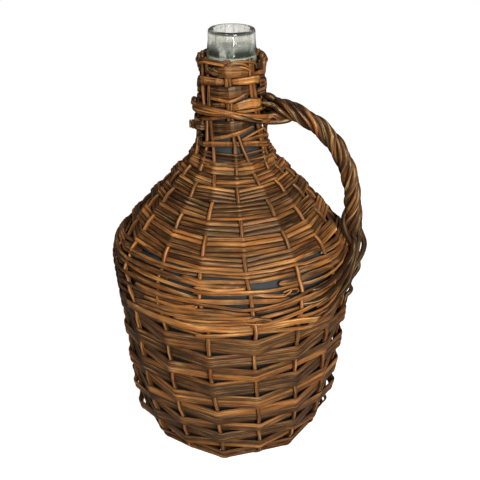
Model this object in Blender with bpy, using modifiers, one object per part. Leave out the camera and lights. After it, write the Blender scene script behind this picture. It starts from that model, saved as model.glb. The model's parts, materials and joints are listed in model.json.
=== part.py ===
"""Five litre glass demijohn in a woven willow cover, with a roped willow handle on one side.

Metres, +Z up. The origin is the middle of the underside, on the bottle's axis.
An azimuth is an angle in degrees about +Z, from -Y towards +X. The handle stands at +X.
"""

import math

import bpy
from mathutils import Vector

COLLECTION_NAME = "wicker_demijohn"

# Clearance between two pieces that touch, and the larger one where a facet may sag
TOUCH_GAP = 0.0003
GLASS_GAP = 0.0005

# Glass bottle: heights are measured from the floor
BODY_RADIUS = 0.0964
SHOULDER_HEIGHT = 0.1727
NECK_FOOT_HEIGHT = 0.2670
NECK_FOOT_RADIUS = 0.0250
NECK_RADIUS = 0.0192
NECK_TOP_HEIGHT = 0.3430
LIP_HEIGHT = 0.3600
LIP_RADIUS = 0.0181
LIP_BEND = 0.0020
MOUTH_RADIUS = 0.0133
MOUTH_DEPTH = 0.0120
GLASS_WALL = 0.0032
GLASS_SEGMENTS = 32

# Outlines as (radius share, height share) of each stretch of the bottle
BODY_OUTLINE_SHARES = [
    (0.0, 0.0), (0.40, 0.0), (0.747, 0.0), (0.815, 0.0085), (0.849, 0.028), (0.866, 0.058), (0.888, 0.144),
    (0.932, 0.322), (0.959, 0.547), (0.980, 0.778), (0.998, 0.935), (1.0, 1.0),
]
SHOULDER_OUTLINE_SHARES = [
    (0.986, 0.0615), (0.945, 0.125), (0.839, 0.232), (0.637, 0.411), (0.423, 0.586), (0.209, 0.761),
    (0.105, 0.846), (0.039, 0.920), (0.0, 1.0),
]
NECK_OUTLINE_SHARES = [
    (0.741, 0.105), (0.62, 0.303), (0.397, 0.496), (0.19, 0.618), (0.052, 0.724), (0.0, 1.0),
]
OUTLINE_STEPS = 8

# Willow: round stakes run up the bottle, flat split skeins are woven in front of and behind them
STAKE_COUNT = 17
STAKE_RADIUS = 0.0017
STAKE_TIP_RADIUS = 0.0014
SKEIN_THICKNESS = 0.0016
SKEIN_GAP = 0.0005
SKEIN_WEB = 0.0004
STAKE_INNER_RADIUS = 0.0270

# The stakes lean round the bottle as they climb: (height share of the lip, azimuth in degrees)
STAKE_LEAN = [
    (0.0, 6.5), (0.083, 6.0), (0.167, 4.3), (0.25, 2.5), (0.33, 1.6), (0.42, 1.2), (0.50, -0.8), (0.57, -2.1),
    (0.68, -4.0), (0.735, -7.0), (0.79, -12.0), (0.83, -18.0), (0.91, -26.0), (1.0, -32.0),
]

# Stakes pulled aside on the shoulder, between these heights: their numbers, with the azimuth in degrees
STAKE_TUGS = {1: -2.0, 2: 0.6, 3: 4.5, 4: 3.7, 5: 1.3, 16: -4.6, 17: -1.0}
TUG_START_HEIGHT = 0.1500
TUG_END_HEIGHT = 0.2400

# On the neck the stakes lie in eight groups, which take this many of them, from stake_02 on
GROUP_SIZES = [2, 2, 2, 3, 2, 2, 2, 2]
GROUP_START = 1
GATHER_START_HEIGHT = 0.2645
GATHER_END_HEIGHT = 0.2770

# Heights of the edges between the cover's woven courses, at its outer face, and the skeins in each course
COURSE_EDGE_HEIGHTS = [
    0.0030, 0.0150, 0.0270, 0.0400, 0.0520, 0.0680, 0.0840, 0.1000, 0.1150, 0.1310, 0.1470, 0.1580,
    0.1670, 0.1760, 0.1850, 0.1930, 0.2000, 0.2090, 0.2205, 0.2300, 0.2405, 0.2495, 0.2570, 0.2645,
]
COURSE_SKEIN_COUNTS = [2, 1, 2, 2, 2, 2, 2, 2, 2, 2, 1, 1, 1, 1, 1, 1, 2, 2, 2, 2, 2, 1, 1]
NECK_BANDS = [
    (0.2780, 0.2870), (0.2880, 0.2955), (0.3095, 0.3150), (0.3160, 0.3225), (0.3240, 0.3310), (0.3315, 0.3370),
]
GATHER_BAND = (0.2655, 0.2740)

# Heights at which a stake has a point: the course edges where the bottle curves, and a few more
STAKE_POINT_HEIGHTS = [
    0.0030, 0.0075, 0.0150, 0.0270, 0.0520, 0.0840, 0.1150, 0.1470, 0.1580, 0.1670, 0.1760, 0.1850, 0.1930,
    0.2090, 0.2300, 0.2495, 0.2570, 0.2645, 0.2690, 0.2735, 0.2780, 0.3000, 0.3230, 0.3420,
]

# Twisted pair of rods round the neck, where the handle begins, and the rod along the cover's top edge
WRAP_HEIGHT = 0.3025
WRAP_DROP = 0.0030
WRAP_ROD_RADIUS = 0.0015
WRAP_TURNS = 6
WRAP_POINTS_PER_TURN = 8
BORDER_HEIGHT = 0.3395
BORDER_ROD_RADIUS = 0.0015
BORDER_POINTS = 24

# Handle: rods twisted round a bow, in the plane of X and Z. At its foot the bow stands off the bottle's side
HANDLE_STANDOFF = 0.0081
HANDLE_HEAD_HEIGHT = 0.2995
HANDLE_FOOT_HEIGHT = 0.1970
HANDLE_PATH_SHARES = [
    (0.0, 1.0), (0.12, 1.0), (0.27, 0.970), (0.43, 0.915), (0.58, 0.838), (0.715, 0.730), (0.825, 0.603),
    (0.900, 0.463), (0.941, 0.322), (0.968, 0.185), (1.0, 0.0),
]
HANDLE_PATH_STEPS = 6
BOW_RADIUS = 0.0032
BOW_POINTS = 16
HANDLE_ROD_COUNT = 6
HANDLE_ROD_RADIUS = 0.0023
HANDLE_ROD_GAP = 0.0004
HANDLE_TURN_LENGTH = 0.0600
HANDLE_POINTS_PER_TURN = 11
HANDLE_END_TURN = 20.0

# Foot of the handle: its rods fan out down the cover; place across the fan and lower end of each rod
FOOT_TOP_HEIGHT = 0.1800
FOOT_TOP_SPREAD = 0.0065
FOOT_END_SPREAD = 0.0090
FOOT_POINTS = 5
FOOT_GAP = 0.0006
FOOT_PLACES = [0.5, 2.5, 1.5, -0.5, -2.5, -1.5]
FOOT_END_HEIGHTS = [0.1420, 0.1330, 0.1240, 0.1300, 0.1360, 0.1180]

# Under the bottle, below the stakes: flat sticks threaded through each other both ways, inside a hoop
BASE_STICK_WIDTH = 0.0070
BASE_STICK_SPACING = 0.0100
BASE_STICK_LENGTH = 0.1240
BASE_HOOP_RADIUS = 0.0700
BASE_HOOP_WIDTH = 0.0070
BASE_HOOP_SEGMENTS = 34

# Distances from the glass, measured square to it
MIDDLE_DISTANCE = GLASS_GAP + SKEIN_THICKNESS + TOUCH_GAP + STAKE_RADIUS
SKEIN_SHIFT = STAKE_RADIUS + TOUCH_GAP + SKEIN_THICKNESS / 2
COVER_DEPTH = MIDDLE_DISTANCE + SKEIN_SHIFT + SKEIN_THICKNESS / 2

GLASS_COLOUR = (0.72, 0.80, 0.74)
STAKE_COLOUR = (0.42, 0.25, 0.11)
SKEIN_COLOUR = (0.33, 0.18, 0.07)
HANDLE_COLOUR = (0.28, 0.15, 0.06)
BASE_COLOUR = (0.30, 0.17, 0.08)


def clear_scene():
    """Remove every object that the scene starts with."""
    for old in list(bpy.data.objects):
        bpy.data.objects.remove(old, do_unlink=True)


def make_material(name, colour, roughness, transmission=0.0):
    """Return a Principled BSDF material."""
    material = bpy.data.materials.new(name)
    material.use_nodes = True
    shader = material.node_tree.nodes["Principled BSDF"]
    shader.inputs["Base Color"].default_value = (*colour, 1.0)
    shader.inputs["Roughness"].default_value = roughness
    shader.inputs["Metallic"].default_value = 0.0
    shader.inputs["Transmission Weight"].default_value = transmission
    return material


def smooth_path(points, steps):
    """Return a smooth list of points through the given ones, as a centripetal spline."""
    points = [Vector(point) for point in points]
    first = points[0] * 2 - points[1]
    last = points[-1] * 2 - points[-2]
    ring = [first] + points + [last]
    path = []
    for a, b, c, d in zip(ring, ring[1:], ring[2:], ring[3:]):
        t1 = math.sqrt((b - a).length)
        t2 = t1 + math.sqrt((c - b).length)
        t3 = t2 + math.sqrt((d - c).length)
        for step in range(steps):
            t = t1 + (t2 - t1) * step / steps
            ab = a.lerp(b, t / t1)
            bc = b.lerp(c, (t - t1) / (t2 - t1))
            cd = c.lerp(d, (t - t2) / (t3 - t2))
            abc = ab.lerp(bc, t / t2)
            bcd = bc.lerp(cd, (t - t1) / (t3 - t1))
            path.append(abc.lerp(bcd, (t - t1) / (t2 - t1)))
    path.append(points[-1])
    return path


class Curve:
    """A polyline that is read by the distance along it."""

    def __init__(self, points):
        self.points = points
        self.lengths = [0.0]
        for a, b in zip(points, points[1:]):
            self.lengths.append(self.lengths[-1] + (b - a).length)
        self.length = self.lengths[-1]

    def span(self, distance):
        """Return the index of the stretch that holds the distance."""
        for index, end in enumerate(self.lengths[1:]):
            if distance <= end:
                return index
        return len(self.points) - 2

    def point(self, distance):
        index = self.span(distance)
        start = self.lengths[index]
        part = (distance - start) / (self.lengths[index + 1] - start)
        return self.points[index].lerp(self.points[index + 1], part)

    def direction(self, distance):
        """Return the direction at a distance, read over a hundredth of the curve."""
        reach = self.length / 200
        low = max(distance - reach, 0.0)
        high = min(distance + reach, self.length)
        return (self.point(high) - self.point(low)).normalized()


def glass_outline():
    """Return the glass's outer outline as a Curve of (radius, height), from under the base to the neck's top."""
    points = []
    for radius_share, height_share in BODY_OUTLINE_SHARES:
        height = COVER_DEPTH + (SHOULDER_HEIGHT - COVER_DEPTH) * height_share
        points.append((BODY_RADIUS * radius_share, height))
    for radius_share, height_share in SHOULDER_OUTLINE_SHARES:
        radius = NECK_FOOT_RADIUS + (BODY_RADIUS - NECK_FOOT_RADIUS) * radius_share
        points.append((radius, SHOULDER_HEIGHT + (NECK_FOOT_HEIGHT - SHOULDER_HEIGHT) * height_share))
    for radius_share, height_share in NECK_OUTLINE_SHARES:
        radius = NECK_RADIUS + (NECK_FOOT_RADIUS - NECK_RADIUS) * radius_share
        points.append((radius, NECK_FOOT_HEIGHT + (NECK_TOP_HEIGHT - NECK_FOOT_HEIGHT) * height_share))
    return Curve(smooth_path(points, OUTLINE_STEPS))


GLASS = glass_outline()


def off_glass(distance, depth):
    """Return (radius, height) at a distance along the outline and a depth square to the glass."""
    point = GLASS.point(distance)
    along = GLASS.direction(distance)
    return Vector((point.x + depth * along.y, point.y - depth * along.x))


def distance_at_height(height, depth):
    """Return the distance along the outline where the layer at that depth has the height."""
    low = BODY_RADIUS * BODY_OUTLINE_SHARES[1][0]
    high = GLASS.length
    for _ in range(40):
        middle = (low + high) / 2
        if off_glass(middle, depth).y < height:
            low = middle
        else:
            high = middle
    return (low + high) / 2


def around(radius, azimuth, height):
    """Return the point at a radius, an azimuth in degrees and a height."""
    angle = math.radians(azimuth)
    return Vector((radius * math.sin(angle), -radius * math.cos(angle), height))


def smoothstep(value, low, high):
    """Rise smoothly from 0 at low to 1 at high."""
    share = min(max((value - low) / (high - low), 0.0), 1.0)
    return share * share * (3 - 2 * share)


def lean_at(height):
    """Return how far the stakes have leant round the bottle at a height, in degrees."""
    share = height / LIP_HEIGHT
    for (low, low_lean), (high, high_lean) in zip(STAKE_LEAN, STAKE_LEAN[1:]):
        if share <= high:
            return low_lean + (high_lean - low_lean) * (share - low) / (high - low)
    return STAKE_LEAN[-1][1]


def stake_groups():
    """Return for each stake its group on the neck and its place across it."""
    groups = []
    for group, size in enumerate(GROUP_SIZES):
        for member in range(size):
            groups.append((group, member - (size - 1) / 2))
    return groups[-GROUP_START:] + groups[:-GROUP_START]


GROUPS = stake_groups()


def group_azimuth(group, height):
    """Return the azimuth of the middle of a group of stakes on the neck."""
    spacing = 360 / len(GROUP_SIZES)
    start = (GROUP_START + (GROUP_SIZES[0] - 1) / 2) * 360 / STAKE_COUNT
    return start + group * spacing + lean_at(height)


def stake_azimuth(stake, height):
    """Return a stake's azimuth at a height: evenly spaced on the body, in groups on the neck."""
    tug = STAKE_TUGS.get(stake + 1, 0.0) * smoothstep(height, TUG_START_HEIGHT, TUG_END_HEIGHT)
    free = stake * 360 / STAKE_COUNT + lean_at(height) + tug
    group, place = GROUPS[stake]
    radius = off_glass(distance_at_height(max(height, GATHER_START_HEIGHT), MIDDLE_DISTANCE), MIDDLE_DISTANCE).x
    side_step = math.degrees((2 * STAKE_RADIUS + TOUCH_GAP) / radius)
    gathered = group_azimuth(group, height) + place * side_step
    swing = (gathered - free + 180) % 360 - 180
    return free + swing * smoothstep(height, GATHER_START_HEIGHT, GATHER_END_HEIGHT)


def add_object(name, data, material, collection):
    """Put new mesh or curve data in the scene as an object with one material."""
    part = bpy.data.objects.new(name, data)
    collection.objects.link(part)
    data.materials.append(material)
    return part


def add_tube(name, path, radii, material, collection, closed=False):
    """Add a round rod along a list of points, each with its radius."""
    radius = max(radii)
    curve = bpy.data.curves.new(name, "CURVE")
    curve.dimensions = "3D"
    curve.bevel_depth = radius
    curve.bevel_resolution = 1
    curve.use_fill_caps = not closed
    spline = curve.splines.new("POLY")
    spline.points.add(len(path) - 1)
    for point, place, size in zip(spline.points, path, radii):
        point.co = (*place, 1.0)
        point.radius = size / radius
    spline.use_cyclic_u = closed
    spline.use_smooth = True
    return add_object(name, curve, material, collection)


def add_strip(name, sections, material, collection, closed=False):
    """Add a flat strip as a loft between its sections."""
    count = len(sections)
    sides = len(sections[0])
    corners = [corner for section in sections for corner in section]
    faces = []
    for index in range(count if closed else count - 1):
        here = sides * index
        there = sides * ((index + 1) % count)
        for side in range(sides):
            after = (side + 1) % sides
            faces.append((here + side, there + side, there + after, here + after))
    if not closed:
        faces.append(tuple(range(sides)))
        faces.append(tuple(reversed(range(sides * (count - 1), sides * count))))
    mesh = bpy.data.meshes.new(name)
    mesh.from_pydata(corners, [], faces)
    mesh.update()
    return add_object(name, mesh, material, collection)


def strip_section(azimuth, edges, depth):
    """Return the corners of a course's section: skeins between the given edges, joined behind by a thin web."""
    inner = depth - SKEIN_THICKNESS / 2
    outer = depth + SKEIN_THICKNESS / 2
    front = []
    back = []
    for (bottom, top), (following, _) in zip(edges, edges[1:] + edges[:1]):
        front.extend([(bottom, outer), (top, outer)])
        if following > top:
            front.extend([(top, inner + SKEIN_WEB), (following, inner + SKEIN_WEB)])
            back.append(((top + following) / 2, inner))
    places = [(edges[0][0], inner)] + front + [(edges[-1][1], inner)] + back[::-1]
    section = []
    for distance, layer in places:
        spot = off_glass(distance, layer)
        section.append(around(spot.x, azimuth, spot.y))
    return section


def make_glass(material, collection):
    """Turn the open bottle: inner wall from the base up, over the lip and down the outer wall."""
    outer = [Vector((0.0, COVER_DEPTH))]
    inner = [Vector((0.0, COVER_DEPTH + GLASS_WALL))]
    for index in range(2 * OUTLINE_STEPS, len(GLASS.points), OUTLINE_STEPS):
        outer.append(GLASS.points[index])
        inner.append(off_glass(GLASS.lengths[index], -GLASS_WALL))
    bore_foot = LIP_HEIGHT - MOUTH_DEPTH
    lip = [
        (MOUTH_RADIUS, bore_foot), (MOUTH_RADIUS, LIP_HEIGHT - LIP_BEND),
        (MOUTH_RADIUS + LIP_BEND * 0.4, LIP_HEIGHT - LIP_BEND * 0.3), (MOUTH_RADIUS + LIP_BEND, LIP_HEIGHT),
        (LIP_RADIUS - LIP_BEND, LIP_HEIGHT), (LIP_RADIUS - LIP_BEND * 0.3, LIP_HEIGHT - LIP_BEND * 0.4),
        (LIP_RADIUS, LIP_HEIGHT - LIP_BEND), (LIP_RADIUS, (bore_foot + LIP_HEIGHT) / 2),
    ]
    profile = inner + [Vector(point) for point in lip] + outer[::-1]
    mesh = bpy.data.meshes.new("glass_bottle")
    corners = [(point.x, 0.0, point.y) for point in profile]
    edges = [(index, index + 1) for index in range(len(corners) - 1)]
    mesh.from_pydata(corners, edges, [])
    bottle = add_object("glass_bottle", mesh, material, collection)
    screw = bottle.modifiers.new("turn", "SCREW")
    screw.axis = "Z"
    screw.steps = GLASS_SEGMENTS
    screw.render_steps = GLASS_SEGMENTS
    screw.use_merge_vertices = True
    screw.merge_threshold = 0.00001
    screw.use_smooth_shade = True
    return bottle


def make_stakes(material, collection):
    """Run each stake out under the bottle, up its side and along the neck."""
    under = COVER_DEPTH - MIDDLE_DISTANCE
    stations = [(STAKE_INNER_RADIUS, under), (BASE_HOOP_RADIUS, under)]
    for height in STAKE_POINT_HEIGHTS:
        stations.append(off_glass(distance_at_height(height, COVER_DEPTH), MIDDLE_DISTANCE))
    taper = STAKE_RADIUS - STAKE_TIP_RADIUS
    radii = [STAKE_RADIUS - taper * smoothstep(height, SHOULDER_HEIGHT, GATHER_START_HEIGHT) for _, height in stations]
    for stake in range(STAKE_COUNT):
        path = [around(radius, stake_azimuth(stake, height), height) for radius, height in stations]
        add_tube(f"stake_{stake + 1:02d}", path, radii, material, collection)


def skein_edges(low, high, skeins):
    """Return the lower and upper distance of each skein in a course that is given by its heights."""
    start = distance_at_height(low, COVER_DEPTH) + SKEIN_GAP / 2
    end = distance_at_height(high, COVER_DEPTH) - SKEIN_GAP / 2
    width = (end - start - SKEIN_GAP * (skeins - 1)) / skeins
    edges = []
    for skein in range(skeins):
        bottom = start + skein * (width + SKEIN_GAP)
        edges.append((bottom, bottom + width))
    return edges


def make_body_courses(material, collection):
    """Weave each course once round the bottle, in front of every other stake.

    The number of stakes is odd, so a course ends behind the stake that it began in front of.
    """
    back = STAKE_COUNT // 2 + 1
    courses = zip(COURSE_EDGE_HEIGHTS, COURSE_EDGE_HEIGHTS[1:], COURSE_SKEIN_COUNTS)
    for number, (low, high, skeins) in enumerate(courses):
        edges = skein_edges(low, high, skeins)
        height = off_glass((edges[0][0] + edges[-1][1]) / 2, MIDDLE_DISTANCE).y
        sections = []
        for step in range(STAKE_COUNT + 1):
            stake = (back + step) % STAKE_COUNT
            front = 1 if (step + number) % 2 == 0 else -1
            depth = MIDDLE_DISTANCE + front * SKEIN_SHIFT
            sections.append(strip_section(stake_azimuth(stake, height), edges, depth))
        add_strip(f"weave_course_{number + 1:02d}", sections, material, collection)


def make_neck_bands(material, collection):
    """Wind closed bands round the neck, over one group of stakes and under the next."""
    for number, (low, high) in enumerate(NECK_BANDS):
        edges = skein_edges(low, high, 1)
        spot = off_glass(sum(edges[0]) / 2, MIDDLE_DISTANCE)
        sections = []
        for group, size in enumerate(GROUP_SIZES):
            front = 1 if (group + number) % 2 == 1 else -1
            depth = MIDDLE_DISTANCE + front * SKEIN_SHIFT
            half_width = size * STAKE_RADIUS + 2 * TOUCH_GAP
            half_angle = math.degrees(half_width / (spot.x + front * SKEIN_SHIFT))
            for side in (-1, 0, 1):
                azimuth = group_azimuth(group, spot.y) + side * half_angle
                sections.append(strip_section(azimuth, edges, depth))
        add_strip(f"neck_band_{number + 1}", sections, material, collection, closed=True)


def make_gather_band(material, collection):
    """Lay one plain band over the stakes where they draw together."""
    edges = skein_edges(*GATHER_BAND, 2)
    sections = []
    for step in range(BORDER_POINTS):
        azimuth = step * 360 / BORDER_POINTS
        sections.append(strip_section(azimuth, edges, MIDDLE_DISTANCE + SKEIN_SHIFT + TOUCH_GAP))
    add_strip("gather_band", sections, material, collection, closed=True)


def wrap_radius():
    """Return the radius of the middle of the twisted pair round the neck."""
    lowest = off_glass(distance_at_height(WRAP_HEIGHT - WRAP_DROP, MIDDLE_DISTANCE), MIDDLE_DISTANCE).x
    return lowest + STAKE_RADIUS + TOUCH_GAP + wrap_reach()


def wrap_reach():
    """Return how far the twisted pair reaches from its middle line."""
    return 2 * WRAP_ROD_RADIUS + TOUCH_GAP


def make_neck_wrap(material, collection):
    """Twist two rods round each other in a ring that dips towards the handle."""
    count = WRAP_TURNS * WRAP_POINTS_PER_TURN
    for rod in range(2):
        path = []
        for step in range(count):
            azimuth = 360 * step / count
            turn = 2 * math.pi * (step / WRAP_POINTS_PER_TURN + rod / 2)
            swing = WRAP_ROD_RADIUS + TOUCH_GAP
            radius = wrap_radius() + swing * math.cos(turn)
            height = WRAP_HEIGHT - WRAP_DROP * math.sin(math.radians(azimuth)) + swing * math.sin(turn)
            path.append(around(radius, azimuth, height))
        radii = [WRAP_ROD_RADIUS] * len(path)
        add_tube(f"neck_wrap_rod_{rod + 1}", path, radii, material, collection, closed=True)


def make_top_border(material, collection):
    """Run one rod round the outside of the stakes at the cover's top edge."""
    middle = off_glass(distance_at_height(BORDER_HEIGHT, MIDDLE_DISTANCE), MIDDLE_DISTANCE).x
    radius = middle + STAKE_RADIUS + 2 * TOUCH_GAP + BORDER_ROD_RADIUS
    path = [around(radius, 360 * step / BORDER_POINTS, BORDER_HEIGHT) for step in range(BORDER_POINTS)]
    add_tube("top_border_rod", path, [BORDER_ROD_RADIUS] * len(path), material, collection, closed=True)


def handle_path():
    """Return the handle's middle line, from beside the neck out and down to the cover's side."""
    start = wrap_radius() + wrap_reach() + TOUCH_GAP
    points = []
    for reach_share, height_share in HANDLE_PATH_SHARES:
        across = start + (BODY_RADIUS + HANDLE_STANDOFF - start) * reach_share
        height = HANDLE_FOOT_HEIGHT + (HANDLE_HEAD_HEIGHT - HANDLE_FOOT_HEIGHT) * height_share
        points.append((across, 0.0, height))
    return Curve(smooth_path(points, HANDLE_PATH_STEPS))


def foot_points(place, end_height):
    """Return the points of a handle rod that lies down the outside of the cover."""
    depth = COVER_DEPTH + FOOT_GAP + HANDLE_ROD_RADIUS
    handle_azimuth = 90.0
    points = []
    for step in range(FOOT_POINTS):
        share = step / (FOOT_POINTS - 1)
        height = FOOT_TOP_HEIGHT + (end_height - FOOT_TOP_HEIGHT) * share
        spot = off_glass(distance_at_height(height, depth), depth)
        spread = FOOT_TOP_SPREAD + (FOOT_END_SPREAD - FOOT_TOP_SPREAD) * share
        azimuth = handle_azimuth + math.degrees(place * spread / spot.x)
        points.append(around(spot.x, azimuth, spot.y))
    return points


def make_handle(material, collection):
    """Twist the handle's rods round its bow and fan their ends out over the cover."""
    line = handle_path()
    bow = [line.point(line.length * step / (BOW_POINTS - 1)) for step in range(BOW_POINTS)]
    add_tube("handle_bow", bow, [BOW_RADIUS] * len(bow), material, collection)
    swing = BOW_RADIUS + HANDLE_ROD_GAP + HANDLE_ROD_RADIUS
    across = Vector((0.0, 1.0, 0.0))
    count = round(line.length / HANDLE_TURN_LENGTH * HANDLE_POINTS_PER_TURN)
    for rod in range(HANDLE_ROD_COUNT):
        path = []
        for step in range(count + 1):
            distance = HANDLE_ROD_RADIUS + (line.length - HANDLE_ROD_RADIUS) * step / count
            outward = line.direction(distance).cross(across)
            turns = (line.length - distance) / HANDLE_TURN_LENGTH + rod / HANDLE_ROD_COUNT
            angle = 2 * math.pi * turns + math.radians(HANDLE_END_TURN)
            path.append(line.point(distance) + swing * (math.cos(angle) * outward + math.sin(angle) * across))
        path.extend(foot_points(FOOT_PLACES[rod], FOOT_END_HEIGHTS[rod]))
        add_tube(f"handle_rod_{rod + 1}", path, [HANDLE_ROD_RADIUS] * len(path), material, collection)


def add_box(name, centre, size, material, collection):
    """Add a box with its scale applied."""
    bpy.ops.mesh.primitive_cube_add(size=1.0, location=centre)
    box = bpy.context.object
    box.name = name
    box.scale = size
    bpy.ops.object.transform_apply(location=True, rotation=True, scale=True)
    box.data.materials.append(material)
    for old in list(box.users_collection):
        old.objects.unlink(box)
    collection.objects.link(box)
    return box


def make_base(material, collection, cutters):
    """Lay the crossing sticks and the hoop flat under the stakes."""
    middle = SKEIN_THICKNESS / 2
    along_x = (BASE_STICK_LENGTH, BASE_STICK_WIDTH, SKEIN_THICKNESS)
    along_y = (BASE_STICK_WIDTH, BASE_STICK_LENGTH, SKEIN_THICKNESS)
    cross = add_box("base_cross", (0.0, 0.0, middle), along_x, material, collection)
    others = [add_box("stick_y_0", (0.0, 0.0, middle), along_y, material, cutters)]
    for side in (-1, 1):
        shift = side * BASE_STICK_SPACING
        others.append(add_box(f"stick_x_{side}", (0.0, shift, middle), along_x, material, cutters))
        others.append(add_box(f"stick_y_{side}", (shift, 0.0, middle), along_y, material, cutters))
    for other in others:
        other.hide_render = True
        other.display_type = "WIRE"
        union = cross.modifiers.new(other.name, "BOOLEAN")
        union.operation = "UNION"
        union.object = other
    sections = []
    for step in range(BASE_HOOP_SEGMENTS):
        azimuth = 360 * step / BASE_HOOP_SEGMENTS
        low = BASE_HOOP_RADIUS - BASE_HOOP_WIDTH / 2
        high = BASE_HOOP_RADIUS + BASE_HOOP_WIDTH / 2
        section = [around(low, azimuth, SKEIN_THICKNESS), around(low, azimuth, 0.0), around(high, azimuth, 0.0),
                   around(high, azimuth, SKEIN_THICKNESS)]
        sections.append(section)
    add_strip("base_hoop", sections, material, collection, closed=True)


def main():
    clear_scene()
    collection = bpy.data.collections.new(COLLECTION_NAME)
    cutters = bpy.data.collections.new("cutters")
    bpy.context.scene.collection.children.link(collection)
    bpy.context.scene.collection.children.link(cutters)
    glass = make_material("glass", GLASS_COLOUR, 0.05, transmission=1.0)
    stake = make_material("stake_willow", STAKE_COLOUR, 0.5)
    skein = make_material("skein_willow", SKEIN_COLOUR, 0.45)
    handle = make_material("handle_willow", HANDLE_COLOUR, 0.4)
    base = make_material("base_willow", BASE_COLOUR, 0.6)
    make_glass(glass, collection)
    make_stakes(stake, collection)
    make_body_courses(skein, collection)
    make_gather_band(skein, collection)
    make_neck_bands(skein, collection)
    make_neck_wrap(handle, collection)
    make_top_border(skein, collection)
    make_handle(handle, collection)
    make_base(base, collection, cutters)


main()
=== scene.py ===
"""Looks of the wicker demijohn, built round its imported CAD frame.

Metres, +Z up. An azimuth is an angle in degrees about +Z, from -Y towards +X, and the handle stands at +X.
The tables of strands hold azimuths as the photograph shows them, counted from the camera's own azimuth,
and their heights, widths and distances are in millimetres.
"""

import json
import math
import random

import bpy
import numpy as np
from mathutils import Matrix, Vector

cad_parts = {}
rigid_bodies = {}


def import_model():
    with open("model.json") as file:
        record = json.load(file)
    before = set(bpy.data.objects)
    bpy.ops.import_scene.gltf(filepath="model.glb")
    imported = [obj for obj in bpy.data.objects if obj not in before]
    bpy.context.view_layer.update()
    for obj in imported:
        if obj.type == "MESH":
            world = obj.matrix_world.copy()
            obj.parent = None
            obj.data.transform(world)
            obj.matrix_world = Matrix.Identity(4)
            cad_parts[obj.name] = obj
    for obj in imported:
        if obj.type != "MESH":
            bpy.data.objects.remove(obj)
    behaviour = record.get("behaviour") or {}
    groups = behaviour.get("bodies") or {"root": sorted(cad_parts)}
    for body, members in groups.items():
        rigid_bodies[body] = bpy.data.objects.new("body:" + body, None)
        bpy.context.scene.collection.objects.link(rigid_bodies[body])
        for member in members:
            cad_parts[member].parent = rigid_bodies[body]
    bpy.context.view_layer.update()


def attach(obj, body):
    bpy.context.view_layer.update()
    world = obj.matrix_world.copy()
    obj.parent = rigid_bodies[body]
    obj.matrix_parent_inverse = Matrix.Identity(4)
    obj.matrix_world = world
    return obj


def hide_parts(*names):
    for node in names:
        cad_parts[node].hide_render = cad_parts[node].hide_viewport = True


# Millimetres in a metre
MILLIMETRES = 1000

# Camera: where it stands and looks, its lens and sensor in millimetres, and how near it can see
CAMERA_AZIMUTH = 12.0
CAMERA_ELEVATION = 29.217
CAMERA_DISTANCE = 0.61543
CAMERA_TARGET = (0.0062, 0.0013, 0.1775)
CAMERA_LENS = 52.5
CAMERA_SENSOR = 36.0
CAMERA_CLIP = 0.01

# Bottle, as in the part's source
BODY_RADIUS = 0.0964
SHOULDER_HEIGHT = 0.1727
NECK_FOOT_HEIGHT = 0.2670
NECK_FOOT_RADIUS = 0.0250
NECK_RADIUS = 0.0192
NECK_TOP_HEIGHT = 0.3430
LIP_HEIGHT = 0.3600
LIP_RADIUS = 0.0181
MOUTH_RADIUS = 0.0133
MOUTH_DEPTH = 0.0120
GLASS_WALL = 0.0032
BODY_OUTLINE_SHARES = [
    (0.0, 0.0), (0.40, 0.0), (0.747, 0.0), (0.815, 0.0085), (0.849, 0.028), (0.866, 0.058), (0.888, 0.144),
    (0.932, 0.322), (0.959, 0.547), (0.980, 0.778), (0.998, 0.935), (1.0, 1.0),
]
SHOULDER_OUTLINE_SHARES = [
    (0.986, 0.0615), (0.945, 0.125), (0.839, 0.232), (0.637, 0.411), (0.423, 0.586), (0.209, 0.761),
    (0.105, 0.846), (0.039, 0.920), (0.0, 1.0),
]
NECK_OUTLINE_SHARES = [
    (0.741, 0.105), (0.62, 0.303), (0.397, 0.496), (0.19, 0.618), (0.052, 0.724), (0.0, 1.0),
]

# Cover: how far its outer face, the stakes' middle and the face that the strands' tables follow lie off the
# glass, and the gap between strands that touch
COVER_DEPTH = 0.0077
MIDDLE_DISTANCE = 0.0041
FACE_DEPTH = 0.0078
TOUCH_GAP = 0.0003

# Stakes, as in the part's source, but their tops, tugs and gathering heights are as the photograph shows
STAKE_COUNT = 17
STAKE_RADIUS = 0.0017
STAKE_INNER_RADIUS = 0.0270
STAKE_TOP_HEIGHT = 0.3420
STAKE_LEAN = [
    (0.0, 6.5), (0.083, 6.0), (0.167, 4.3), (0.25, 2.5), (0.33, 1.6), (0.42, 1.2), (0.50, -0.8),
    (0.57, -2.1), (0.68, -4.0), (0.735, -7.0), (0.79, -12.0), (0.83, -18.0), (0.91, -26.0), (1.0, -32.0),
]
STAKE_TUGS = {1: -1.6, 2: 0.2, 3: 5.6, 4: 6.2, 5: 4.8, 16: -7.2, 17: -2.4}
TUG_START_HEIGHT = 0.1350
TUG_END_HEIGHT = 0.2100
GROUP_SIZES = [2, 2, 2, 3, 2, 2, 2, 2]
GROUP_START = 1
GATHER_START_HEIGHT = 0.2500
GATHER_END_HEIGHT = 0.2820
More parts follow.
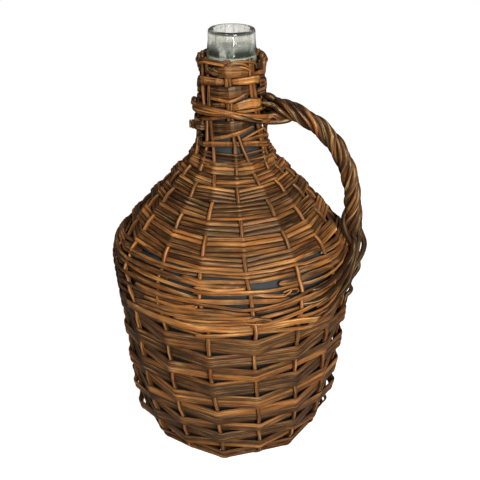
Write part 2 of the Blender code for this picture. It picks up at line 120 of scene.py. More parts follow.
# Where the six front stakes run on the neck: (height, azimuth) points, which take over between two heights.
# The points' heights are in millimetres.
NECK_STAKES_START_HEIGHT = 0.2430
NECK_STAKES_FULL_HEIGHT = 0.2550
NECK_STAKES = {
    1: [
        (250, -19), (268, -28), (283, -34), (295, -37), (303, -41), (310, -44), (322, -47), (335, -52),
        (343, -55),
    ],
    2: [
        (250, 5.6), (262, 6.5), (275, 5.5), (285, 3), (293, -2.5), (300, -5), (310, -7), (323, -9.2),
        (343, -11),
    ],
    3: [
        (250, 30), (262, 27.5), (275, 18), (285, 11), (293, 4.5), (300, 0), (310, -1), (323, -2.8),
        (343, -4.4),
    ],
    4: [
        (250, 51.5), (258, 54), (271, 59), (283, 51), (295, 46), (310, 40), (320, 37), (332, 35.5),
        (343, 34),
    ],
    5: [
        (250, 73), (260, 70), (275, 63), (285, 57), (295, 53), (310, 47), (320, 44.5), (332, 42.5),
        (343, 41.5),
    ],
    17: [
        (250, -41), (256, -44), (265, -47), (280, -45), (295, -45), (303, -54), (312, -62), (322, -68),
        (343, -71),
    ],
}

# Courses: the heights of the edges between them, how many skeins each has, and how skeins bend and sway
COURSE_EDGE_HEIGHTS = [
    0.0030, 0.0140, 0.0252, 0.0385, 0.0492, 0.0675, 0.0818, 0.0988, 0.1124, 0.1276, 0.1435, 0.1570,
    0.1670, 0.1760, 0.1850, 0.1930, 0.2000, 0.2090, 0.2205, 0.2300, 0.2405, 0.2495, 0.2570, 0.2645,
]
COURSE_STRANDS = [2, 2, 2, 2, 2, 3, 3, 2, 3, 2, 2, 2, 2, 2, 2, 2, 3, 4, 3, 4, 4, 3, 3]
FIRST_SHOULDER_COURSE = 16
TRANSITION_COURSES = range(10, 16)
SKEIN_DEPTH = 0.0014
SKEIN_OVERLAP = -0.0001
STAKE_SWAY = 0.0009
WEAVE_REACH = STAKE_RADIUS + TOUCH_GAP + SKEIN_DEPTH / 2
LOW_BEND = 0.0045
HIGH_BEND = 0.0024

# Handle, as in the part's source, and the distance from +Z to the rope's start
HANDLE_STANDOFF = 0.0081
HANDLE_HEAD_HEIGHT = 0.2995
HANDLE_FOOT_HEIGHT = 0.1970
HANDLE_START = 0.0346
HANDLE_PATH_SHARES = [
    (0.0, 1.0), (0.12, 1.0), (0.27, 0.970), (0.43, 0.915), (0.58, 0.838), (0.715, 0.730), (0.825, 0.603),
    (0.900, 0.463), (0.941, 0.322), (0.968, 0.185), (1.0, 0.0),
]
HANDLE_ROD_COUNT = 6
HANDLE_TURN_LENGTH = 0.0600
HANDLE_END_TURN = 20.0


def smoothstep(value, low, high):
    """Rise smoothly from 0 at low to 1 at high."""
    share = np.clip((value - low) / (high - low), 0.0, 1.0)
    return share * share * (3 - 2 * share)


def smooth_path(points, steps):
    """Return a smooth array of points through the given ones, as a centripetal spline."""
    points = np.array(points, float)
    ring = np.vstack([2 * points[0] - points[1], points, 2 * points[-1] - points[-2]])
    path = []
    for a, b, c, d in zip(ring, ring[1:], ring[2:], ring[3:]):
        t1 = math.sqrt(np.linalg.norm(b - a))
        t2 = t1 + math.sqrt(np.linalg.norm(c - b))
        t3 = t2 + math.sqrt(np.linalg.norm(d - c))
        for step in range(steps):
            t = t1 + (t2 - t1) * step / steps
            ab = a + (b - a) * t / t1
            bc = b + (c - b) * (t - t1) / (t2 - t1)
            cd = c + (d - c) * (t - t2) / (t3 - t2)
            abc = ab + (bc - ab) * t / t2
            bcd = bc + (cd - bc) * (t - t1) / (t3 - t1)
            path.append(abc + (bcd - abc) * (t - t1) / (t2 - t1))
    path.append(points[-1])
    return np.array(path)


def lengths_along(path):
    """Return the distance along a path at each of its points."""
    steps = np.linalg.norm(np.diff(path, axis=0), axis=1)
    return np.concatenate([[0.0], np.cumsum(steps)])


def unit(vectors):
    """Return the vectors with a length of one."""
    return vectors / np.linalg.norm(vectors, axis=-1, keepdims=True)


def constant(value, like):
    """Return an array as long as another, filled with one value."""
    return np.full(len(like), float(value))


# Wandering waves: how much shorter each is than the one before, and by how much chance changes that
WAVE_STEP = 0.8
WAVE_CHANCE = 0.3
WAVE_COUNT = 4
WAVE_SUM = 1.5


def wander(rng, positions, size, slowest):
    """Return a smooth random wave along the positions, whose slowest part has the given length."""
    wave = np.zeros(len(positions))
    for index in range(WAVE_COUNT):
        length = slowest / (1 + WAVE_STEP * index + WAVE_CHANCE * rng.random())
        wave += np.sin(2 * math.pi * (positions / length + rng.random())) / (1 + index)
    return wave * size / WAVE_SUM


# Bottle's outline

OUTLINE_STEPS = 12
OUTLINE_SAMPLES = 1500
SMOOTHING_SAMPLES = 31


class Outline:
    """The bottle's outer outline, and the layers that lie off it."""

    def __init__(self):
        points = []
        for radius_share, height_share in BODY_OUTLINE_SHARES:
            height = COVER_DEPTH + (SHOULDER_HEIGHT - COVER_DEPTH) * height_share
            points.append((BODY_RADIUS * radius_share, height))
        for radius_share, height_share in SHOULDER_OUTLINE_SHARES:
            radius = NECK_FOOT_RADIUS + (BODY_RADIUS - NECK_FOOT_RADIUS) * radius_share
            points.append((radius, SHOULDER_HEIGHT + (NECK_FOOT_HEIGHT - SHOULDER_HEIGHT) * height_share))
        for radius_share, height_share in NECK_OUTLINE_SHARES:
            radius = NECK_RADIUS + (NECK_FOOT_RADIUS - NECK_RADIUS) * radius_share
            points.append((radius, NECK_FOOT_HEIGHT + (NECK_TOP_HEIGHT - NECK_FOOT_HEIGHT) * height_share))
        path = smooth_path(points, OUTLINE_STEPS)
        along = lengths_along(path)
        self.places = np.linspace(0.0, along[-1], OUTLINE_SAMPLES)
        self.radius = np.interp(self.places, along, path[:, 0])
        self.height = np.interp(self.places, along, path[:, 1])
        tangent = unit(np.stack([np.gradient(self.radius), np.gradient(self.height)], axis=1))
        window = np.ones(SMOOTHING_SAMPLES) / SMOOTHING_SAMPLES
        for axis in range(2):
            padded = np.pad(tangent[:, axis], SMOOTHING_SAMPLES // 2, mode="edge")
            tangent[:, axis] = np.convolve(padded, window, mode="valid")
        self.tangent = unit(tangent)
        first = np.searchsorted(self.radius, BODY_RADIUS * BODY_OUTLINE_SHARES[1][0])
        faces = self.height - COVER_DEPTH * self.tangent[:, 0]
        self.face_heights = np.maximum.accumulate(faces[first:])
        self.face_places = self.places[first:]

    def place(self, height):
        """Return the distance along the outline where the cover's outer face has the height."""
        return np.interp(height, self.face_heights, self.face_places)

    def read(self, place, values):
        """Return values of the outline at a distance along it."""
        return np.interp(place, self.places, values)

    def points(self, azimuth, height, depth):
        """Return points on the cover, with the outward direction at each."""
        place = self.place(height)
        along_r = self.read(place, self.tangent[:, 0])
        along_z = self.read(place, self.tangent[:, 1])
        radius = self.read(place, self.radius) + depth * along_z
        level = self.read(place, self.height) - depth * along_r
        angle = np.radians(azimuth)
        sine, cosine = np.sin(angle), -np.cos(angle)
        spots = np.stack([radius * sine, radius * cosine, level], axis=1)
        outward = np.stack([along_z * sine, along_z * cosine, -along_r], axis=1)
        return spots, outward


OUTLINE = Outline()

# Where the stakes run


def cover_radius(height):
    """Return the radius of the stakes' layer where the cover's outer face has the height."""
    place = OUTLINE.place(height)
    along_z = OUTLINE.read(place, OUTLINE.tangent[:, 1])
    return OUTLINE.read(place, OUTLINE.radius) + MIDDLE_DISTANCE * along_z


def stake_groups():
    """Return for each stake its group on the neck and its place across it."""
    groups = []
    for group, size in enumerate(GROUP_SIZES):
        for member in range(size):
            groups.append((group, member - (size - 1) / 2))
    return groups[-GROUP_START:] + groups[:-GROUP_START]


GROUPS = stake_groups()


def lean_at(height):
    """Return how far the stakes have leant round the bottle at a height, in degrees."""
    shares, leans = zip(*STAKE_LEAN)
    return np.interp(height / LIP_HEIGHT, shares, leans)


def group_azimuth(group, height):
    """Return the azimuth of the middle of a group of stakes on the neck."""
    start = (GROUP_START + (GROUP_SIZES[0] - 1) / 2) * 360 / STAKE_COUNT
    return start + group * 360 / len(GROUP_SIZES) + lean_at(height)


def stake_azimuth(stake, height):
    """Return a stake's azimuth at a height: evenly spaced on the body, in groups on the neck."""
    turns, stake = divmod(stake, STAKE_COUNT)
    tug = STAKE_TUGS.get(stake + 1, 0.0) * smoothstep(height, TUG_START_HEIGHT, TUG_END_HEIGHT)
    free = stake * 360 / STAKE_COUNT + lean_at(height) + tug
    group, place = GROUPS[stake]
    radius = cover_radius(np.maximum(height, GATHER_START_HEIGHT))
    gathered = group_azimuth(group, height) + place * np.degrees((2 * STAKE_RADIUS + TOUCH_GAP) / radius)
    swing = (gathered - free + 180) % 360 - 180
    return turns * 360 + free + swing * smoothstep(height, GATHER_START_HEIGHT, GATHER_END_HEIGHT)


def drawn_azimuth(stake, height):
    """Return a stake's azimuth at a height, on the neck's front as the photograph shows it."""
    turns, stake = divmod(stake, STAKE_COUNT)
    azimuth = stake_azimuth(stake, height)
    if stake + 1 in NECK_STAKES:
        levels, seen = zip(*NECK_STAKES[stake + 1])
        shown = np.interp(np.asarray(height) * MILLIMETRES, levels, seen) + CAMERA_AZIMUTH
        share = smoothstep(height, NECK_STAKES_START_HEIGHT, NECK_STAKES_FULL_HEIGHT)
        azimuth = azimuth + ((shown - azimuth + 180) % 360 - 180) * share
    return turns * 360 + azimuth


# Strands: sections as (across, out) points that the width and depth scale, and the strands' ends and grain

FLAT_SECTION = [
    (-1.0, 0.20), (-0.975, 0.62), (-0.88, 0.86), (-0.45, 0.97), (0.0, 1.0), (0.45, 0.97), (0.88, 0.86),
    (0.975, 0.62), (1.0, 0.20), (0.90, 0.0), (0.0, 0.0), (-0.90, 0.0),
]
LENS_SECTION = [
    (-1.0, 0.15), (-0.96, 0.42), (-0.82, 0.70), (-0.45, 0.92), (0.0, 1.0), (0.45, 0.92), (0.82, 0.70),
    (0.96, 0.42), (1.0, 0.15), (0.88, 0.0), (0.0, 0.0), (-0.88, 0.0),
]
ROUND_ANGLES = [math.radians(30 * step) for step in range(12, 0, -1)]
ROUND_SECTION = [(math.cos(angle), 0.5 + 0.5 * math.sin(angle)) for angle in ROUND_ANGLES]
END_LENGTH_SHARE = 0.7
END_DEPTH_SHARE = 0.4
GRAIN_SEEDS = 50


def add_piece(name, mesh, material, nodes=()):
    """Link a mesh as a smooth piece that rides on the part, has a slot and stands for its nodes."""
    mesh.polygons.foreach_set("use_smooth", [True] * len(mesh.polygons))
    mesh.update()
    mesh.materials.append(material)
    piece = bpy.data.objects.new(name, mesh)
    bpy.context.scene.collection.objects.link(piece)
    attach(piece, "root")
    if nodes:
        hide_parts(*nodes)


class Bundle:
    """Collects strands into one mesh piece."""

    def __init__(self, name, seed):
        self.name = name
        self.rng = random.Random(seed)
        self.corners = []
        self.faces = []
        self.grain = []
        self.tones = []
        self.count = 0

    def add(self, path, outward, width, depth, section, tone=None, ends=0.35, layer=1.0):
        """Sweep a section along a path: width and depth are arrays, and outward is the side that is seen.

        The tone may be one value or one for each point, and the ends taper to their share of the width.
        """
        along = lengths_along(path)
        ahead = unit(np.gradient(path, axis=0))
        up = unit(np.cross(outward, ahead))
        outward = unit(np.cross(ahead, up))
        near = np.minimum(along, along[-1] - along) / (END_LENGTH_SHARE * float(np.max(width)))
        taper = ends + (1 - ends) * np.sqrt(np.clip(near, 0.0, 1.0))
        across = np.array([spot[0] for spot in section])
        rise = np.array([spot[1] for spot in section])
        half = (width * taper / 2)[:, None] * across[None, :]
        thick = depth * (END_DEPTH_SHARE + (1 - END_DEPTH_SHARE) * taper)
        lift = thick[:, None] * (rise[None, :] - 0.5)
        ring = path[:, None, :] + up[:, None, :] * half[..., None] + outward[:, None, :] * lift[..., None]
        self.corners.append(ring.reshape(-1, 3))
        self.join_rings(len(path), len(section))
        shape = (len(path), len(section), 3)
        grain = np.zeros(shape)
        grain[..., 0] = along[:, None]
        grain[..., 1] = half
        grain[..., 2] = self.rng.random() * GRAIN_SEEDS
        self.grain.append(grain.reshape(-1, 3))
        tones = np.ones(shape)
        tones[..., 0] *= np.reshape(self.rng.random() if tone is None else tone, (-1, 1))
        # How far across the strand a point lies, with which the material paints shade and dirt along its
        # edges
        tones[..., 1] *= np.abs(across)
        # The layer lets the material paint shade where a strand passes behind a stake, and a highlight
        # where it bends out over one
        tones[..., 2] *= np.reshape(layer, (-1, 1))
        self.tones.append(tones.reshape(-1, 3))

    def join_rings(self, stations, sides):
        """Skin the newest strand with quads between its rings, and close both of its ends."""
        index = self.count + np.arange(stations * sides).reshape(stations, sides)
        here, there = index[:-1], index[1:]
        quads = np.stack([here, np.roll(here, -1, axis=1), np.roll(there, -1, axis=1), there], axis=2)
        self.faces.extend(quads.reshape(-1, 4).tolist())
        self.faces.append(index[0][::-1].tolist())
        self.faces.append(index[-1].tolist())
        self.count += stations * sides

    def finish(self, material, nodes=()):
        """Make the piece, whose points carry each strand's grain and tone for the material."""
        mesh = bpy.data.meshes.new(self.name)
        mesh.from_pydata(np.vstack(self.corners).tolist(), [], self.faces)
        for name, values in (("grain", self.grain), ("tone", self.tones)):
            layer = mesh.attributes.new(name, "FLOAT_VECTOR", "POINT")
            layer.data.foreach_set("vector", np.vstack(values).astype(np.float32).ravel())
        add_piece(self.name, mesh, material, nodes)


# A bend takes up at most this share of a straight run, and the points lie at these shares of runs and bends
BEND_LIMIT_SHARE = 0.45
RUN_SHARES = (0.25, 0.5, 0.75)
BEND_SHARES = (0.0, 0.17, 0.33, 0.5, 0.67, 0.83, 1.0)


def bent(points, values, rounding):
    """Run straight between the points and bend round each; return the path and the values read along it."""
    stack = np.column_stack([points, values])
    corners = [(stack[0], stack[0], stack[0])]
    for before, here, after in zip(stack, stack[1:], stack[2:]):
        back = before - here
        onward = after - here
        low = here + back * min(rounding / np.linalg.norm(back[:3]), BEND_LIMIT_SHARE)
        high = here + onward * min(rounding / np.linalg.norm(onward[:3]), BEND_LIMIT_SHARE)
        corners.append((low, 2 * here - (low + high) / 2, high))
    corners.append((stack[-1], stack[-1], stack[-1]))
    path = [stack[0]]
    for (_, _, start), (low, control, high) in zip(corners, corners[1:]):
        path.extend(start + (low - start) * share for share in RUN_SHARES)
        if low is high:
            path.append(high)
            continue
        for share in BEND_SHARES:
            path.append((1 - share) ** 2 * low + 2 * share * (1 - share) * control + share**2 * high)
    path = np.array(path)
    return path[:, :3], path[:, 3:]


def add_laid(bundle, azimuth, height, depth, width, rounding, section=FLAT_SECTION, **more):
    """Lay a strand on the cover through key places, straight between them."""
    spots, outward = OUTLINE.points(azimuth, height, depth)
    layer = (depth - MIDDLE_DISTANCE) / WEAVE_REACH
    path, along = bent(spots, np.column_stack([outward, width, layer]), rounding)
    thick = constant(SKEIN_DEPTH, path)
    bundle.add(path, unit(along[:, :3]), along[:, 3], thick, section, layer=along[:, 4], **more)


# Points per place of a round rod, and the wave in its thickness, as size and length
ROD_STEPS = 6
ROD_SWELL_WAVE = (0.04, 0.03)


def add_smooth(bundle, azimuth, height, depth, width, **more):
    """Lay a round rod on the cover in a smooth line through key places."""
    spots, _ = OUTLINE.points(azimuth, height, depth)
    path = smooth_path(spots, ROD_STEPS)
    outward = unit(path * np.array([1.0, 1.0, 0.0]))
    size = width * (1 + wander(bundle.rng, lengths_along(path), *ROD_SWELL_WAVE))
    bundle.add(path, outward, size, size, ROUND_SECTION, **more)


def polar(azimuth, elevation, distance, target):
    """Return the point at an azimuth, an elevation and a distance from a target."""
    a, e = math.radians(azimuth), math.radians(elevation)
    way = Vector((math.sin(a) * math.cos(e), -math.cos(a) * math.cos(e), math.sin(e)))
    return Vector(target) + way * distance


# A face seen more aslant than this is treated as if it faced the camera this much
LEAST_FACING_SHARE = 0.45


def seen_places(places, extra=0.0):
    """Split a strand's places into azimuths of the part, heights in metres, depths and shares of the width.

    The table gives each place where the line of sight to it meets the cover's outer face.
    """
    azimuth = np.array([place[0] for place in places], float) + CAMERA_AZIMUTH
    height = np.array([place[1] for place in places], float) / MILLIMETRES
    layer = np.array([place[2] for place in places], float)
    depth = MIDDLE_DISTANCE + extra + layer * (WEAVE_REACH - STAKE_SWAY / 2)
    shares = np.array([place[3] if len(place) > 3 else 1.0 for place in places])
    spots, outward = OUTLINE.points(azimuth, height, FACE_DEPTH)
    eye = np.array(polar(CAMERA_AZIMUTH, CAMERA_ELEVATION, CAMERA_DISTANCE, CAMERA_TARGET))
    sight = unit(spots - eye)
    facing = np.clip(-np.sum(sight * outward, axis=1), LEAST_FACING_SHARE, 1.0)
    moved = spots + (FACE_DEPTH - depth)[:, None] * (sight / facing[:, None] + outward)
    turn = np.degrees(np.arctan2(moved[:, 0], -moved[:, 1])) - azimuth
    azimuth = azimuth + (turn + 180) % 360 - 180
    return azimuth, height + moved[:, 2] - spots[:, 2], depth, shares


# Materials


class Shade:
    """A short way to write a node material."""

    def __init__(self, name):
        self.material = bpy.data.materials.new(name)
        self.material.use_nodes = True
        self.tree = self.material.node_tree
        self.shader = self.tree.nodes["Principled BSDF"]

    def node(self, kind, settings=(), **inputs):
        """Add a node, with settings by name and inputs by the name of their socket."""
        made = self.tree.nodes.new(kind)
        for key, value in dict(settings).items():
            setattr(made, key, value)
        for key, value in inputs.items():
            self.put(made, key.replace("_", " "), value)
        return made

    def put(self, made, key, value):
        """Set or link an input, found by its name or by its number."""
        socket = made.inputs[int(key)] if key.isdigit() else made.inputs[key]
        if isinstance(value, bpy.types.NodeSocket):
            self.tree.links.new(value, socket)
        else:
            socket.default_value = value

    def math(self, operation, first, second=0.0, third=0.0):
        """Return the result of a calculation."""
        made = self.node("ShaderNodeMath", {"operation": operation})
        for index, value in enumerate((first, second, third)):
            self.put(made, str(index), value)
        return made.outputs[0]

    def swing(self, pattern, size, value):
        """Add a pattern to a value as a swing, of the given size, about the pattern's middle."""
        return self.math("MULTIPLY_ADD", self.math("SUBTRACT", pattern, 0.5), size, value)

    def attribute(self, name):
        """Return a vector that the mesh's points carry."""
        return self.node("ShaderNodeAttribute", {"attribute_name": name}).outputs["Vector"]

    def position(self):
        """Return the shaded point."""
        return self.node("ShaderNodeNewGeometry").outputs["Position"]

    def split(self, vector):
        """Return a vector's three parts."""
        return self.node("ShaderNodeSeparateXYZ", Vector=vector).outputs

    def scaled(self, vector, scale):
        """Return a vector with each part multiplied by its own scale."""
        made = self.node("ShaderNodeVectorMath", {"operation": "MULTIPLY"})
        self.put(made, "0", vector)
        self.put(made, "1", scale)
        return made.outputs[0]

    def noise(self, vector, scale, detail=3.0, roughness=0.55):
        """Return a noise pattern of a vector with each part scaled."""
        place = self.scaled(vector, scale)
        made = self.node("ShaderNodeTexNoise", Vector=place, Detail=detail, Roughness=roughness, Scale=1.0)
        return made.outputs["Fac"]

    def ramp(self, value, stops):
        """Return a colour that runs through the stops as the value grows."""
        made = self.node("ShaderNodeValToRGB", Fac=value)
        ramp = made.color_ramp
        while len(ramp.elements) < len(stops):
            ramp.elements.new(0.5)
        for element, (position, colour) in zip(ramp.elements, stops):
            element.position = position
            element.color = (*colour, 1.0)
        return made.outputs["Color"]

    def between(self, value, low, high, new_low=0.0, new_high=1.0):
        """Return new_low to new_high as the value goes from low to high, and no more beyond them."""
        limits = {"From_Min": low, "From_Max": high, "To_Min": new_low, "To_Max": new_high}
        return self.node("ShaderNodeMapRange", {"clamp": True}, Value=value, **limits).outputs["Result"]

    def mix(self, share, first, second, blend="MIX"):
        """Return the first colour with a share of the second blended in."""
        made = self.node("ShaderNodeMix", {"data_type": "RGBA", "blend_type": blend})
        self.put(made, "0", share)
        for key, colour in (("6", first), ("7", second)):
            self.put(made, key, colour if isinstance(colour, bpy.types.NodeSocket) else (*colour, 1.0))
        return made.outputs[2]

    def bump(self, height, strength, distance):
        """Make the surface's relief from a height."""
        made = self.node("ShaderNodeBump", Height=height, Strength=strength, Distance=distance)
        self.put(self.shader, "Normal", made.outputs["Normal"])


def srgb(red, green, blue):
    """Return a linear colour from its 0 to 255 values as seen."""
    linear = []
    for value in (red, green, blue):
        share = value / 255
        linear.append(share / 12.92 if share <= 0.04045 else ((share + 0.055) / 1.055) ** 2.4)
    return tuple(linear)


# Willow's colours
WILLOW_STOPS = [
    (0.0, srgb(24, 14, 8)), (0.25, srgb(72, 42, 19)), (0.5, srgb(122, 72, 31)), (0.75, srgb(152, 99, 46)),
    (1.0, srgb(218, 176, 116)),
]
RED_WILLOW = srgb(190, 104, 52)
DULL_WILLOW = srgb(116, 90, 52)
SPLIT_WILLOW = srgb(40, 24, 12)
PALE_WILLOW = srgb(206, 164, 108)
DARK_WILLOW = srgb(46, 27, 14)
# Painted shade where a strand passes behind a stake
BEHIND_STAKE_SHADE = srgb(36, 21, 11)
# Painted shade, with some dirt, in the crevices along each strand's edges
EDGE_SHADE_AND_DIRT = srgb(34, 19, 9)
PIT_WILLOW = srgb(50, 28, 14)
WILLOW_GLINT = (1.0, 0.68, 0.36, 1.0)
# How closely each pattern repeats along a strand, across it, and from strand to strand
FIBRE_SCALE = (110.0, 2600.0, 1.0)
STREAK_SCALE = (28.0, 700.0, 1.7)
BLOTCH_SCALE = (55.0, 160.0, 2.3)
RED_SCALE = (20.0, 60.0, 5.1)
DULL_SCALE = (40.0, 220.0, 7.7)
SPLIT_SCALE = (12.0, 760.0, 9.3)
LINE_SCALE = (30.0, 950.0, 4.4)
PIT_SCALE = (420.0, 900.0, 3.0)
# How far the patterns swing the ramp's value, which starts from the middle one
WILLOW_VALUE = 0.42
FIBRE_SWING = 0.55
STREAK_SWING = 0.75
BLOTCH_SWING = 0.60
TONE_SWING = 0.50
# Where an effect starts and is full, and its strength at both
# Lighter where a strand bends out over a stake: a painted highlight, partly rubbed varnish
CROSSING_HIGHLIGHT_AND_WEAR = (0.70, 1.45, 0.0, 0.12)
NECK_DARKENING = (0.16, 0.28, 0.02, 0.10)
FOOT_DARKENING = (0.04, 0.15, 0.06, 0.0)
RED_SPOTS = (0.50, 0.72, 0.0, 0.42)
DULL_SPOTS = (0.46, 0.72, 0.0, 0.50)
DULL_VALUES = (0.05, 0.35)
SPLIT_LINES = (0.60, 0.66, 0.0, 0.8)
PALE_LINES = (0.58, 0.68)
DARK_LINES = (0.45, 0.36)
PALE_LINE_SHARE = 0.7
DARK_LINE_SHARE = 1.4
# Painted shade where a strand passes behind a stake
BEHIND_STAKE_SHADE_LAYERS = (-1.1, 0.40, 0.58, 0.0)
# Painted shade, with some dirt, along a strand's edges, from the share across given as rim
EDGE_SHADE_END = 0.99
EDGE_SHADE_SHARE = 0.92
PITS = (0.70, 0.76, 0.0, 0.75)
# Roughness falls with the height, and the fibres and splits stand out as relief
ROUGHNESS_BY_HEIGHT = (0.15, 0.29, 0.42, 0.30)
FIBRE_ROUGHNESS = 0.30
STREAK_RELIEF = 0.8
PIT_RELIEF = -0.5
SPLIT_RELIEF = -0.8
WILLOW_RELIEF = 0.45
WILLOW_RELIEF_DEPTH = 0.0005


def willow_material(name, light, gloss, streak, rim=0.70, fibre=0.35):
    """Varnished willow: grain along each strand, whose tone and blotches vary and whose edges get painted
    shade.
    """
    shade = Shade(name)
    grain = shade.attribute("grain")
    tone = shade.split(shade.attribute("tone"))
    height = shade.split(shade.position())[2]
    along_fibre = shade.noise(grain, FIBRE_SCALE, detail=4.0)
    long_streak = shade.noise(grain, STREAK_SCALE)
    value = shade.swing(along_fibre, FIBRE_SWING * streak, WILLOW_VALUE + light)
    value = shade.swing(long_streak, STREAK_SWING * streak, value)
    value = shade.swing(shade.noise(grain, BLOTCH_SCALE, roughness=0.6), BLOTCH_SWING, value)
    value = shade.swing(tone[0], TONE_SWING, value)
    # Painted highlight, partly rubbed varnish, where a strand bends out over a stake
    value = shade.math("ADD", value, shade.between(tone[2], *CROSSING_HIGHLIGHT_AND_WEAR))
    value = shade.math("SUBTRACT", value, shade.between(height, *NECK_DARKENING))
    value = shade.math("SUBTRACT", value, shade.between(height, *FOOT_DARKENING))
    colour = shade.ramp(value, WILLOW_STOPS)
    reddish = shade.between(shade.noise(grain, RED_SCALE, detail=1.0), *RED_SPOTS)
    colour = shade.mix(reddish, colour, RED_WILLOW, "MULTIPLY")
    dull = shade.between(shade.noise(grain, DULL_SCALE), *DULL_SPOTS)
    dull = shade.math("MULTIPLY", dull, shade.between(value, *DULL_VALUES))
    colour = shade.mix(dull, colour, DULL_WILLOW)
    split = shade.between(shade.noise(grain, SPLIT_SCALE, detail=2.0), *SPLIT_LINES)
    colour = shade.mix(split, colour, SPLIT_WILLOW)
    lines = shade.noise(grain, LINE_SCALE, detail=2.0)
    colour = shade.mix(shade.between(lines, *PALE_LINES, 0.0, PALE_LINE_SHARE * fibre), colour, PALE_WILLOW)
    colour = shade.mix(shade.between(lines, *DARK_LINES, 0.0, DARK_LINE_SHARE * fibre), colour, DARK_WILLOW)
    # Painted shade where a strand passes behind a stake
    colour = shade.mix(shade.between(tone[2], *BEHIND_STAKE_SHADE_LAYERS), colour, BEHIND_STAKE_SHADE)
    # Painted shade, with some dirt, along each strand's edges
    colour = shade.mix(shade.between(tone[1], rim, EDGE_SHADE_END, 0.0, EDGE_SHADE_SHARE), colour, EDGE_SHADE_AND_DIRT)
    pit = shade.between(shade.noise(grain, PIT_SCALE, detail=2.0), *PITS)
    shade.put(shade.shader, "Base Color", shade.mix(pit, colour, PIT_WILLOW))
    rough = shade.between(height, *ROUGHNESS_BY_HEIGHT)
    rough = shade.math("MULTIPLY_ADD", along_fibre, FIBRE_ROUGHNESS, rough)
    shade.put(shade.shader, "Roughness", shade.math("SUBTRACT", rough, gloss))
    shade.shader.inputs["Specular IOR Level"].default_value = 0.36
    shade.shader.inputs["Specular Tint"].default_value = WILLOW_GLINT
    shade.shader.inputs["Coat Weight"].default_value = 0.05
    shade.shader.inputs["Coat Roughness"].default_value = 0.2
    relief = shade.math("MULTIPLY_ADD", long_streak, STREAK_RELIEF, along_fibre)
    relief = shade.math("MULTIPLY_ADD", pit, PIT_RELIEF, relief)
    relief = shade.math("MULTIPLY_ADD", split, SPLIT_RELIEF, relief)
    shade.bump(relief, WILLOW_RELIEF, WILLOW_RELIEF_DEPTH)
    return shade.material


# Glass: colours of the streaks, the rim as seen aslant, the dirt under the lip, the lip's dark ring, and
# painted shade
GLASS_STOPS = [(0.35, srgb(236, 235, 229)), (0.55, srgb(220, 220, 212)), (0.68, srgb(172, 173, 162))]
SLANT_GLASS = srgb(128, 131, 118)
CLOUDY_GLASS = srgb(180, 183, 170)
DIRTY_GLASS = srgb(58, 63, 50)
# The lip's dark ring: partly the thick glass's deeper tint, partly painted shade
CORNER_TINT_AND_SHADE = srgb(40, 46, 40)
# Painted shade on the glass under the cover, darker lower down
LOW_COVER_SHADE = srgb(17, 18, 17)
HIGH_COVER_SHADE = srgb(42, 47, 48)

# How closely the glass's patterns repeat across and up the bottle
GLASS_STREAK_SCALE = (420.0, 420.0, 16.0)
GLASS_WAVE_SCALE = (90.0, 90.0, 40.0)
GLASS_CLOUD_SCALE = (120.0, 120.0, 60.0)
# Heights at which an effect starts and is full: milky and cloudy glass, dirt, the covered glass, and its
# painted shade
MILKY_HEIGHTS = (0.3530, 0.3460)
DIRT_TOP_HEIGHTS = (0.3510, 0.3455)
DIRT_FOOT_HEIGHTS = (0.3414, 0.3422)
COVERED_HEIGHTS = (0.3400, 0.3340)
COVER_SHADE_HEIGHTS = (0.155, 0.188)
# The lip's dark ring is partly the thick glass's deeper tint, partly painted shade
# The dark ring at the lip's edge: how far in from the lip, and down from the rim, it starts and is full
CORNER_INSETS = (0.0018, 0.0010)
CORNER_DROPS = (0.0026, 0.0018)
SLANT_BLEND = 0.35
SLANT_LIMITS = (0.5, 1.0)
CLOUD_LIMITS = (0.38, 0.52)
CLOUDY_SHARE = 0.9
DIRTY_SHARE = 0.95
CORNER_SHARE = 0.95
# How milky the glass is: everywhere, more near the neck, less in the dirt, and most under the cover
MILKY_SHARE = 0.08
MILKY_NECK_SHARE = 0.30
MILKY_DIRT_SHARE = -0.20
# Under the cover the glass is made nearly opaque, so that the painted shade shows
COVER_SHADE_OPACITY = 0.75
STREAK_ROUGHNESS = (0.3, 0.8, 0.0, 0.05)
COVERED_ROUGHNESS = 0.75
GLASS_RELIEF = 0.25
GLASS_RELIEF_DEPTH = 0.0006


